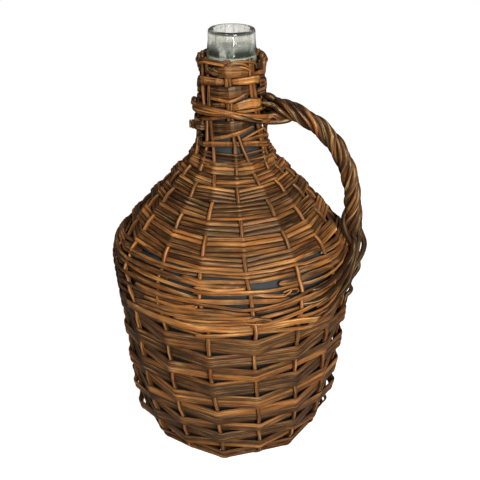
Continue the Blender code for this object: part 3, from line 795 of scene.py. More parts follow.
def glass_material():
    """Pale grey-green bottle glass: streaks, dusty clouds under the lip, painted shade under the cover."""
    shade = Shade("pale_glass")
    position = shade.position()
    height = shade.split(position)[2]
    streaks = shade.noise(position, GLASS_STREAK_SCALE)
    facing = shade.node("ShaderNodeLayerWeight", Blend=SLANT_BLEND).outputs["Facing"]
    colour = shade.ramp(streaks, GLASS_STOPS)
    colour = shade.mix(shade.between(facing, *SLANT_LIMITS), colour, SLANT_GLASS)
    low = shade.between(height, *MILKY_HEIGHTS)
    colour = shade.mix(shade.math("MULTIPLY", low, CLOUDY_SHARE), colour, CLOUDY_GLASS)
    clouds = shade.between(shade.noise(position, GLASS_CLOUD_SCALE, roughness=0.6), *CLOUD_LIMITS)
    patch = shade.math("MULTIPLY", clouds, shade.between(height, *DIRT_FOOT_HEIGHTS))
    dirt = shade.math("MULTIPLY", patch, shade.between(height, *DIRT_TOP_HEIGHTS))
    colour = shade.mix(shade.math("MULTIPLY", dirt, DIRTY_SHARE), colour, DIRTY_GLASS)
    # The lip's dark ring: partly the thick glass's deeper tint, partly painted shade
    flat = shade.scaled(position, (1.0, 1.0, 0.0))
    radius = shade.node("ShaderNodeVectorMath", {"operation": "LENGTH"}, Vector=flat).outputs["Value"]
    corner = shade.between(radius, *(LIP_RADIUS - inset for inset in CORNER_INSETS))
    rim = shade.between(height, *(LIP_HEIGHT - drop for drop in CORNER_DROPS))
    corner = shade.math("MULTIPLY", corner, rim)
    colour = shade.mix(shade.math("MULTIPLY", corner, CORNER_SHARE), colour, CORNER_TINT_AND_SHADE)
    # Painted shade: under the cover the glass is painted dark, darker lower down, and made nearly opaque
    covered = shade.between(height, *COVERED_HEIGHTS)
    body = shade.mix(shade.between(height, *COVER_SHADE_HEIGHTS), LOW_COVER_SHADE, HIGH_COVER_SHADE)
    shade.put(shade.shader, "Base Color", shade.mix(covered, colour, body))
    milky_and_shaded = shade.math("MULTIPLY_ADD", low, MILKY_NECK_SHARE, MILKY_SHARE)
    milky_and_shaded = shade.math("MULTIPLY", milky_and_shaded, shade.math("MULTIPLY_ADD", patch, MILKY_DIRT_SHARE, 1.0))
    milky_and_shaded = shade.math("MAXIMUM", milky_and_shaded, shade.math("MULTIPLY", covered, COVER_SHADE_OPACITY))
    shade.put(shade.shader, "Transmission Weight", shade.math("SUBTRACT", 1.0, milky_and_shaded))
    rough = shade.between(streaks, *STREAK_ROUGHNESS)
    rough = shade.math("ADD", rough, shade.math("MULTIPLY", covered, COVERED_ROUGHNESS))
    shade.put(shade.shader, "Roughness", rough)
    shade.bump(shade.noise(position, GLASS_WAVE_SCALE, detail=1.0), GLASS_RELIEF, GLASS_RELIEF_DEPTH)
    shade.shader.inputs["IOR"].default_value = 1.36
    return shade.material


# Bottle

LATHE_STEPS = 96
AXIS_RADIUS = 0.00001
GLASS_SAMPLES = 120
LIP_STEPS = 6
# The lip's points, outwards from the mouth's radius or the lip's, above the mouth's foot or below the rim
MOUTH_FOOT_POINTS = [(0.0026, 0.0), (0.0018, 0.0050)]
MOUTH_RIM_POINTS = [(0.0004, 0.0030), (0.0001, 0.0012), (0.0010, 0.0002)]
LIP_POINTS = [(-0.0011, 0.0001), (-0.0003, 0.0009), (0.0, 0.0040), (0.0001, 0.0080)]


def lathe(name, profile, steps, material, nodes):
    """Turn a profile of (radius, height) points about +Z."""
    corners = []
    rings = []
    for radius, height in profile:
        if radius < AXIS_RADIUS:
            rings.append([len(corners)])
            corners.append((0.0, 0.0, height))
            continue
        rings.append(list(range(len(corners), len(corners) + steps)))
        for step in range(steps):
            angle = 2 * math.pi * step / steps
            corners.append((radius * math.sin(angle), -radius * math.cos(angle), height))
    faces = []
    for low, high in zip(rings, rings[1:]):
        for step in range(steps):
            after = (step + 1) % steps
            if len(low) == 1:
                faces.append((low[0], high[step], high[after]))
            elif len(high) == 1:
                faces.append((low[after], low[step], high[0]))
            else:
                faces.append((low[after], low[step], high[step], high[after]))
    mesh = bpy.data.meshes.new(name)
    mesh.from_pydata(corners, [], faces)
    add_piece(name, mesh, material, nodes)


def make_bottle(material):
    """Turn the bottle with its rounded lip; the profile runs up the inner wall and down the outer one."""
    picks = np.linspace(0.0, OUTLINE.places[-1], GLASS_SAMPLES)[1:]
    outer = np.stack([OUTLINE.read(picks, OUTLINE.radius), OUTLINE.read(picks, OUTLINE.height)], axis=1)
    tangent = np.stack([OUTLINE.read(picks, OUTLINE.tangent[:, axis]) for axis in range(2)], axis=1)
    inner = outer + GLASS_WALL * np.stack([-tangent[:, 1], tangent[:, 0]], axis=1)
    inner = inner[inner[:, 0] > 0.0]
    foot = LIP_HEIGHT - MOUTH_DEPTH
    lip = [inner[-1].tolist()]
    lip += [(MOUTH_RADIUS + out, foot + up) for out, up in MOUTH_FOOT_POINTS]
    lip += [(MOUTH_RADIUS + out, LIP_HEIGHT - down) for out, down in MOUTH_RIM_POINTS]
    lip += [(LIP_RADIUS + out, LIP_HEIGHT - down) for out, down in LIP_POINTS]
    lip = smooth_path(lip + [outer[-1].tolist()], LIP_STEPS)
    profile = [(0.0, COVER_DEPTH + GLASS_WALL)] + inner[:-1].tolist() + lip.tolist()
    profile += outer[:-1][::-1].tolist() + [(0.0, COVER_DEPTH)]
    lathe("bottle", profile, LATHE_STEPS, material, ["glass_bottle"])


# Stakes

# The stake at the back, where each course starts and ends
BACK_STAKE = STAKE_COUNT // 2 + 1
STAKE_FOOT_HEIGHT = 0.0030
STAKE_MIDDLE_HEIGHT = 0.2000
STAKE_LOW_SAMPLES = 90
STAKE_HIGH_SAMPLES = 110
STAKE_UNDER_SAMPLES = 12
STAKE_UNDER_GAP = 0.0040
SWAY_END_HEIGHTS = (0.25, 0.26)
# Waves along a stake, as size and length: sideways in degrees, outwards, and as a share of its thickness
STAKE_SIDE_WAVE = (0.4, 0.09)
STAKE_DEPTH_WAVE = (0.0002, 0.06)
STAKE_SIZE_WAVE = (0.03, 0.04)
STAKE_THINNING_HEIGHTS = (0.18, 0.30)
STAKE_THINNING_SHARE = 0.12


def downward(points):
    """Return a downward direction for each of the points."""
    return np.tile(np.array([0.0, 0.0, -1.0]), (len(points), 1))


def stake_sway(stake, heights):
    """Return how far a stake stands out at each height: in where a course passes over it, out elsewhere."""
    edges = np.array(COURSE_EDGE_HEIGHTS)
    middles = (edges[:-1] + edges[1:]) / 2
    numbers = np.arange(len(middles))
    step = (stake - BACK_STAKE) % STAKE_COUNT
    sides = np.where((step + numbers) % 2 == 0, -1.0, 1.0)
    sway = np.interp(heights, middles, sides)
    return STAKE_SWAY * sway * (1 - smoothstep(heights, *SWAY_END_HEIGHTS))


def make_stakes(material):
    """Round rods from under the bottle up to the cover's top edge."""
    low = np.linspace(STAKE_FOOT_HEIGHT, STAKE_MIDDLE_HEIGHT, STAKE_LOW_SAMPLES)
    high = np.linspace(STAKE_MIDDLE_HEIGHT, STAKE_TOP_HEIGHT, STAKE_HIGH_SAMPLES)
    heights = np.concatenate([low, high[1:]])
    for stake in range(STAKE_COUNT):
        bundle = Bundle(f"willow_stake_{stake + 1:02d}", 100 + stake)
        rng = bundle.rng
        azimuth = drawn_azimuth(stake, heights) + wander(rng, heights, *STAKE_SIDE_WAVE)
        depth = MIDDLE_DISTANCE + stake_sway(stake, heights) + wander(rng, heights, *STAKE_DEPTH_WAVE)
        path, outward = OUTLINE.points(azimuth, heights, depth)
        edge = path[0][:2].dot(path[0][:2]) ** 0.5 - STAKE_UNDER_GAP
        under = np.linspace(STAKE_INNER_RADIUS, edge, STAKE_UNDER_SAMPLES)
        angle = math.radians(azimuth[0])
        level = constant(COVER_DEPTH - MIDDLE_DISTANCE, under)
        start = np.stack([under * math.sin(angle), -under * math.cos(angle), level], axis=1)
        path = np.vstack([start, path])
        outward = np.vstack([downward(start), outward])
        thinning = STAKE_THINNING_SHARE * smoothstep(path[:, 2], *STAKE_THINNING_HEIGHTS)
        size = 2 * STAKE_RADIUS * (1 - thinning)
        size = size * (1 + wander(rng, lengths_along(path), *STAKE_SIZE_WAVE))
        bundle.add(path, outward, size, size, ROUND_SECTION, tone=0.55 + 0.3 * rng.random(), ends=0.6)
        bundle.finish(material, [f"stake_{stake + 1:02d}"])


# Courses

# How far the courses' edges stray on the body and on the shoulder, and how far they part beside a stake
BODY_EDGE_JITTER = 0.0006
SHOULDER_EDGE_JITTER = 0.0003
WEDGE_GAP = 0.0005
WEDGE_END_HEIGHTS = (0.14, 0.20)
BEND_CHANGE_HEIGHTS = (0.14, 0.21)
# How much the skeins of a course differ in width, in a course of two and in one of more
PAIR_SPREAD_SHARE = 0.26
GROUP_SPREAD_SHARE = 0.22
SKEIN_STEP = 0.0002
# How far the courses stand out on each flank: (height, distance) points
LEFT_BULGE = [(0.012, 0.0064), (0.030, 0.0060), (0.055, 0.0032), (0.085, 0.0014), (0.140, 0.0010)]
RIGHT_BULGE = [
    (0.020, 0.0034), (0.036, 0.0056), (0.060, 0.0026), (0.100, 0.0036), (0.150, 0.0034), (0.190, 0.0016),
]
BULGE_END_ANGLES = (14, 30)
BULGE_BEHIND_SHARE = 0.3
# The steps of a transition course that are laid: those at the back, on both sides of the crossing strands
BACK_PARTS = (slice(0, 6), slice(12, 18))


def course_edges(rng):
    """Return the heights of the edges between courses at each stake, from the back round to the back."""
    edges = []
    for number, height in enumerate(COURSE_EDGE_HEIGHTS):
        size = BODY_EDGE_JITTER if number < FIRST_SHOULDER_COURSE else SHOULDER_EDGE_JITTER
        edges.append([height + size * (2 * rng.random() - 1) for _ in range(STAKE_COUNT + 2)])
    return np.array(edges)


def flank_bulge(azimuth, height, front):
    """Return how far a course stands out on the flanks, most of all where it passes over a stake."""
    seen = (azimuth - CAMERA_AZIMUTH + 180) % 360 - 180
    reach = np.where(seen < 0, np.interp(height, *zip(*LEFT_BULGE)), np.interp(height, *zip(*RIGHT_BULGE)))
    near = 1 - smoothstep(np.abs(np.abs(seen) - 90), *BULGE_END_ANGLES)
    return reach * near * np.where(front > 0, 1.0, BULGE_BEHIND_SHARE)


def make_courses(material):
    """Weave each course round the bottle, in front of every other stake."""
    edges = course_edges(random.Random(7))
    steps = np.arange(STAKE_COUNT + 1)
    for number, strands in enumerate(COURSE_STRANDS):
        bundle = Bundle(f"willow_course_{number + 1:02d}", 200 + number)
        rng = bundle.rng
        front = np.where((steps + number) % 2 == 0, 1, -1)
        wedge = WEDGE_GAP * (1 - smoothstep(COURSE_EDGE_HEIGHTS[number], *WEDGE_END_HEIGHTS))
        low = edges[number][steps] + np.where(front < 0, wedge, 0.0)
        high = edges[number + 1][steps] - np.where(front > 0, wedge, 0.0)
        middle = (low + high) / 2
        azimuth = np.array([drawn_azimuth(BACK_STAKE + int(step), middle[step]) for step in steps])
        bulge = flank_bulge(azimuth, middle, front)
        spread = PAIR_SPREAD_SHARE if strands <= 2 else GROUP_SPREAD_SHARE
        section = FLAT_SECTION if strands <= 2 else LENS_SECTION
        shares = np.array([[1 + spread * (2 * rng.random() - 1) for _ in steps] for _ in range(strands)])
        shares = np.cumsum(np.vstack([np.zeros(len(steps)), shares / shares.sum(axis=0)]), axis=0)
        rounding = LOW_BEND + (HIGH_BEND - LOW_BEND) * smoothstep(middle.mean(), *BEND_CHANGE_HEIGHTS)
        parts = BACK_PARTS if number in TRANSITION_COURSES else (slice(None),)
        for strand in range(strands):
            bottom = low + (high - low) * shares[strand]
            top = low + (high - low) * shares[strand + 1]
            height = (bottom + top) / 2
            width = OUTLINE.place(top) - OUTLINE.place(bottom) + SKEIN_OVERLAP
            depth = MIDDLE_DISTANCE + front * (WEAVE_REACH - STAKE_SWAY) + SKEIN_STEP * (strand % 2) + bulge
            for part in parts:
                add_laid(bundle, azimuth[part], height[part], depth[part], width[part], rounding, section)
        bundle.finish(material, [f"weave_course_{number + 1:02d}"])


# Strands where the bottle is widest, seen from the front: width, tone, and then the azimuth, height and
# layer (1 in front of the stakes, -1 behind them) of the places that it runs through. A place may end in a
# share of the width.
FRONT_STRANDS = [
    (2.7, 0.7, [
        (-66, 193.8, 0), (-60, 195.6, 0.4), (-53, 196.7, 0.6), (-46, 197.4, 0.8), (-35, 198.3, 1),
        (-25, 198.7, 0.6), (-14, 199.4, 1), (0, 199.2, 0.6), (7, 198.9, 1), (20, 199, 0.6), (32, 199, 1),
        (38, 197.6, 0.6), (46, 196.7, 0.6), (52, 195, 1), (60, 193.6, 0.5), (68, 192.5, 0),
    ]),
    (2.5, 0.35, [
        (-66, 191.4, 0.2), (-60, 193.3, 0.5), (-53, 194.5, 0.6), (-46, 195.5, 0.6), (-38, 196.1, 1),
        (-30, 196.3, 0.5), (-22, 196.9, 0), (-14, 197.4, -1), (0, 197.4, 0.3), (7, 196.7, 1),
        (20, 196.9, 0.2), (32, 196.6, -1), (40, 195.4, 0.3), (52, 193.2, 1), (68, 190.5, 0),
    ]),
    (3.6, 0.6, [
        (-24, 194.6, 0.2), (-14, 193.4, 1), (0, 194.1, 0.2), (8, 194, -1), (15, 194.1, 0), (22, 194.3, 0),
        (32, 194, -1), (38, 194, 0.4), (45, 193.2, 0.8), (52, 191.9, 1), (60, 191, 0.4), (68, 190.4, 0),
    ]),
    (3.3, 0.4, [
        (-66, 187.3, 0.4), (-60, 189, 1), (-52, 190.8, 0.7, 1.2), (-45, 191.9, 0.6, 1.35),
        (-37, 192.6, 1, 1.35), (-30, 192.9, 0.6, 1.35), (-22, 192.2, 0.6, 1.15), (-14, 191.2, 1),
        (-5, 191.2, 0.8), (3, 191.2, 0.2), (8, 190.8, -1),
    ]),
    (2.2, 1.0, [(-17, 189.2, 0.9), (-8, 189, 1.2), (0, 189.4, 1.1), (6, 190, 0.8)]),
    (2.6, 0.6, [
        (-70, 183.4, 0.2), (-64, 185.3, 1), (-57, 186.6, 0.4), (-50, 187.4, 0.7, 1.25),
        (-43, 188, 0.8, 1.3), (-37, 188.4, 1, 1.3), (-30, 188.4, 0.9, 1.25), (-24, 188, 0.8, 1.15),
        (-18, 187.5, 1), (-14, 186.8, 1.1), (-9, 187, 1), (-4, 187.6, 1), (0, 187.9, 1.2),
        (8, 187.9, 1.8), (15, 187.2, 1.1), (20, 187, 0.8), (25, 187, 0.2), (32, 186.3, -1),
        (37, 185.2, 0.3), (42, 184.7, 0.7), (47, 184.1, 1), (54, 183.8, 1), (62, 184, 0.6),
        (70, 184.5, 0.4),
    ]),
    (1.6, 0.35, [(-17, 185.6, 0.5), (-9, 185.8, 0.7), (0, 186.3, 0.8), (7, 186.5, 1), (12, 186, 0.4)]),
    (4.8, 0.25, [
        (21.5, 190.3, 0.3), (25.5, 189.9, 0.2), (32, 189.6, -1), (38, 190.2, 0.1), (45, 189.2, 0.6),
        (52, 188, 1), (60, 187.6, 0.6), (68, 187.5, 0.2),
    ]),
    (2.9, 0.45, [
        (-66, 175.5, 0.4), (-60, 178.3, 1), (-52, 181.8, 1.1, 1.3), (-47, 182.9, 0.9, 1.4),
        (-43, 183.3, 0.9, 1.45), (-36, 183.7, 1, 1.45), (-30, 183.9, 1, 1.45), (-22, 183.4, 0.9, 1.2),
        (-16, 182.3, 0.3), (-13, 182, -0.4),
    ]),
    (4.4, 0.6, [
        (-48, 176.6, 0.3), (-42, 177.8, 0.7), (-36, 178.6, 0.9), (-30, 179, 0.8), (-22, 179.8, 0.8),
        (-14, 180.4, 1), (-4, 181.3, 0.5), (3, 181.3, 0.2), (9, 180.9, -1), (14, 180.2, 0),
        (20, 178.7, 0.4), (26, 177.8, 0.2),
    ]),
    (2.6, 1.0, [(7, 186, -1.1), (11, 185.6, 0.2), (15, 184, 0.5), (20, 182.6, 0.6), (24, 181.6, 0.5)]),
    (2.8, 0.25, [
        (-22, 178, 0.3), (-13, 178.3, 1.1), (-6, 177.7, 0.9), (0, 176.2, 1.1), (5, 174.9, 1.5),
        (10, 174.7, 1.8), (15, 175.3, 1.3), (20, 175.9, 1), (25, 177, 1), (30, 178.3, 1.2),
        (35, 179.8, 1), (41, 179.5, 0.8), (48, 179.2, 0.7), (60, 179.8, 0.8), (70, 181, 0.8),
    ]),
    (3.0, 0.7, [
        (14, 174.6, 0.4), (20, 175, 0.6), (25, 175.2, 0.7), (30, 175.7, 1), (35, 175.6, 1.3),
        (42, 175.8, 0.8), (50, 176, 0.8), (60, 177.5, 0.8), (70, 179.5, 0.8),
    ]),
    (3.2, 0.3, [(10, 171.6, -0.8), (15, 172, 0), (20, 172.6, 0.4), (25, 173.2, 0.3), (30, 173.6, -0.6)]),
    (3.2, 1.0, [
        (-42, 170.3, 0.3), (-37, 171.3, 0.6), (-31, 172.5, 0.8), (-24.5, 172.8, 0.9), (-18.5, 174, 0.9),
        (-14.5, 175, 0.7),
    ]),
    (2.8, 0.3, [
        (-66, 165.5, 0.3), (-58, 170, 0.6), (-52, 172.3, 0.6), (-46, 174, 0.6), (-40, 174.8, 0.5),
        (-34, 175.5, 0.5), (-26, 175.9, 0.3), (-20, 176.3, 0), (-14, 176.6, -1),
    ]),
    (6.8, 0.5, [
        (-50, 161, 0, 0.35), (-43, 164.5, 0.3, 0.55), (-37, 166.8, 0.5, 0.7), (-31, 167.9, 0.7, 0.8),
        (-24.5, 168.8, 0.8, 0.85), (-14.5, 171.3, 1.1), (-4.5, 172, 0.9), (1, 171, 0.6, 0.8),
        (9, 169.8, -0.6, 0.4),
    ]),
    (3.6, 0.5, [
        (-50, 157.5, 0), (-43, 160.5, 0.4), (-36, 162.5, 0.5), (-30, 163.4, 0.6), (-24, 164.4, 0.7),
        (-18, 165.5, 0.8), (-10, 167, 1.1), (0, 167.6, 0.9), (7, 167.3, 1.5), (12, 166.4, 1.2),
    ]),
    (2.7, 0.55, [
        (-26, 161, 0.4), (-16, 162.8, 0.9), (-10, 163.3, 1.1), (0, 164.3, 0.9), (6, 164.9, 1.5),
        (12, 164.3, 1.5), (17, 163, 0.9),
    ]),
    (2.4, 0.75, [
        (-22, 159.4, 0.5), (-14, 160.4, 1), (-6, 161.2, 1), (0, 161.9, 0.9), (6, 162.4, 1.3),
        (12, 161.5, 1.2),
    ]),
    (3.8, 0.5, [(9, 165.6, -0.8), (14, 166.8, 0.2), (20, 167.9, 0.5), (26, 168.2, 0.4), (33, 167.6, -1)]),
    (4.0, 0.95, [
        (8, 158.6, -0.4), (15, 160.2, 0.6), (20, 161.3, 0.8), (25, 162.6, 1), (30, 163.6, 1.1),
        (35, 164.6, 1.3), (40, 164.9, 1.2), (46, 165.6, 0.9), (55, 168, 0.8),
    ]),
    (7.4, 1.0, [
        (-70, 143.5, 0, 0.6), (-58, 149.2, 1, 0.8), (-50, 152.6, 0.6, 0.9), (-40, 155.2, 0.5),
        (-33, 156, 1), (-22, 156.1, 0.8), (-14, 155.8, 1.1), (0, 156.8, 0.4), (10, 157.2, -0.9),
        (18, 156.8, 0.1), (25, 156.2, 0.8), (30, 155, 1.1, 0.9), (35, 152.4, 1, 0.8),
        (41, 148.6, 0.6, 0.7), (48, 144.5, 0, 0.6),
    ]),
    (3.0, 0.4, [
        (-68, 140.5, 0.3), (-58, 145.4, 1), (-50, 149, 0.3), (-42, 151.4, 0.1), (-33, 151.8, -1),
        (-22, 151.4, 0), (-13, 149.2, 0.9), (-9, 148, 0.4),
    ]),
    (3.5, 0.85, [
        (-16, 147.6, 0.8), (-12, 148.8, 1), (-4, 150.8, 0.6), (2, 151.9, 0.2), (10, 152.4, -1),
        (18, 151.8, 0.2), (26, 149.4, 0.8), (33, 146.2, 1), (40, 143, 0.4),
    ]),
    (3.4, 0.45, [
        (29, 159.3, 0.4), (33, 158.2, 1), (38, 156.9, 1.2), (43, 156, 1.4), (48, 156.2, 1.6),
        (53, 158.4, 1.5), (60, 162.4, 1), (70, 168, 0.8),
    ]),
    (3.4, 0.35, [
        (30, 172.6, -0.6), (36, 172.3, 0.5), (42, 172.4, 0.8), (48, 172.7, 0.8), (56, 174, 0.8),
        (66, 177, 0.8),
    ]),
    (3.4, 0.3, [
        (34, 169.3, -0.6), (40, 169, 0.3), (46, 169, 0.6), (52, 169.9, 0.8), (60, 172.5, 0.9),
        (70, 176, 0.9),
    ]),
    (3.4, 0.4, [
        (40, 161.4, 0), (45, 161, 0.6), (50, 161.6, 0.9), (56, 163.9, 1), (64, 168, 0.9), (74, 173, 0.8),
    ]),
    (3.2, 0.2, [(46, 165, -0.4), (53, 165.8, 0.6), (60, 168.4, 0.7), (72, 173.6, 0.8)]),
    (3.4, 0.3, [
        (36, 153.2, 0.3), (42, 152.4, 0.6), (48, 152.4, 0.9), (54, 154.6, 1), (62, 158.8, 0.8),
        (72, 164, 0.8),
    ]),
    (3.8, 0.5, [(36, 147, 0.4), (44, 146, 0.8), (52, 147.8, 1.2), (60, 151.6, 0.9), (72, 157.5, 0.8)]),
    (4.0, 0.1, [
        (-76, 171, 0.4), (-68, 175, 0.6), (-57, 178.6, -1), (-46, 179.6, -0.6), (-36, 180.6, -0.6),
    ]),
    (4.4, 0.2, [
        (-76, 164, 0.5), (-66, 169.6, 0.7), (-57, 172.4, -1), (-48, 169.6, -0.2), (-38, 171.4, -0.3),
    ]),
    (4.4, 0.15, [
        (-76, 157, 0.6), (-66, 163, 0.7), (-57, 165.6, -1), (-48, 166.4, -0.3), (-38, 168.8, -0.3),
    ]),
    (4.4, 0.3, [
        (-76, 150.5, 0.5), (-66, 156, 0.8), (-57, 159, -1), (-48, 160.4, 0.1), (-38, 162, 0.2),
        (-28, 165, 0),
    ]),
    (3.6, 0.35, [
        (-76, 144, 0.4), (-66, 149.8, 0.3), (-57, 153, -1), (-48, 156.4, 0.2), (-38, 159.4, 0.2),
        (-28, 160.6, 0.2),
    ]),
    (1.3, 0.9, [(22.5, 184.2, 1), (26, 185, 1.5), (30, 184.2, 1.2)]),
    (1.3, 0.1, [(24, 182.6, 1), (27.5, 181.6, 1.6), (31, 182.4, 1.2)]),
    (1.1, 0.95, [(23, 181.4, 1), (26, 183.6, 1.7), (27, 185.4, 1.2)]),
    (1.1, 0.5, [(29.5, 185, 0.8), (30, 183, 1.5), (28, 181.2, 1)]),
    (1.5, 1.0, [(6, 165.4, 1.6), (10, 166.6, 2.1), (13, 165.2, 1.8)]),
    (1.5, 0.1, [(10, 163.2, 1.9), (13, 163, 2), (16, 161.8, 1.4)]),
    (1.3, 0.9, [(5, 162.8, 1.4), (9, 161.4, 2), (14, 160.4, 1.4)]),
    (1.3, 0.95, [(-20, 175.2, 0.9), (-17, 176.4, 1.1), (-14.5, 175.8, 0.8)]),
    (1.1, 0.9, [(-18, 173.6, 0.9), (-15.5, 174.6, 1.1), (-14.5, 176.6, 0.8)]),
    (2.2, 1.0, [(-73, 186.3, 1.2), (-67, 187.9, 1.6), (-60, 189.3, 1.4)]),
    (3.4, 0.3, [
        (36, 201.6, -0.4), (44, 201.4, 0.5), (52, 200.7, -1), (60, 199.7, 0.3), (68, 198.2, 0.9),
    ]),
    (3.4, 0.45, [(50, 198.4, -0.6), (60, 196.8, 0.3), (68, 195.2, 0.8)]),
    (3.4, 0.3, [
        (-76, 195.5, 0.8), (-68, 198.4, 0.5), (-58, 201, -1), (-48, 202, 0.2), (-40, 202.2, 0.8),
    ]),
    (3.6, 0.2, [(-76, 191.5, 0.8), (-68, 194.6, 0.5), (-60, 197.8, -0.6), (-52, 199.2, 0)]),
    (3.2, 0.1, [
        (-62, 185.6, 0), (-54, 187.8, -0.6), (-46, 189.8, -0.3), (-38, 190.4, -1), (-30, 190.6, -0.3),
    ]),
    (3.4, 0.1, [
        (-66, 181.2, 0), (-56, 184.4, -1), (-48, 185.4, -0.4), (-40, 185.8, -0.3), (-35, 186, -1),
    ]),
]
CROSSING_BEND = 0.0040
# A strand that reaches this azimuth runs on round the side: (azimuth, drop, layer) of its places there
FRONT_END_AZIMUTH = 60
FAR_ENDS = [(82, 0.5, 1.6), (93, 1.5, 1.8), (104, 2, 0.2)]


def far_ends(place):
    """Return where a strand that leaves the front lies round the side, and where it tucks in there."""
    side = math.copysign(1, place[0])
    return [(side * azimuth, place[1] - drop, layer) for azimuth, drop, layer in FAR_ENDS]


def make_front_strands(material):
    """Lay the crossing strands of the bottle's widest part."""
    bundle = Bundle("willow_crossing", 260)
    for width, tone, places in FRONT_STRANDS:
        if places[0][0] < -FRONT_END_AZIMUTH:
            places = far_ends(places[0])[::-1] + places
        if places[-1][0] > FRONT_END_AZIMUTH:
            places = places + far_ends(places[-1])
        azimuth, height, depth, shares = seen_places(places)
        add_laid(bundle, azimuth, height, depth, shares * width / MILLIMETRES, CROSSING_BEND, tone=tone)
    bundle.finish(material)


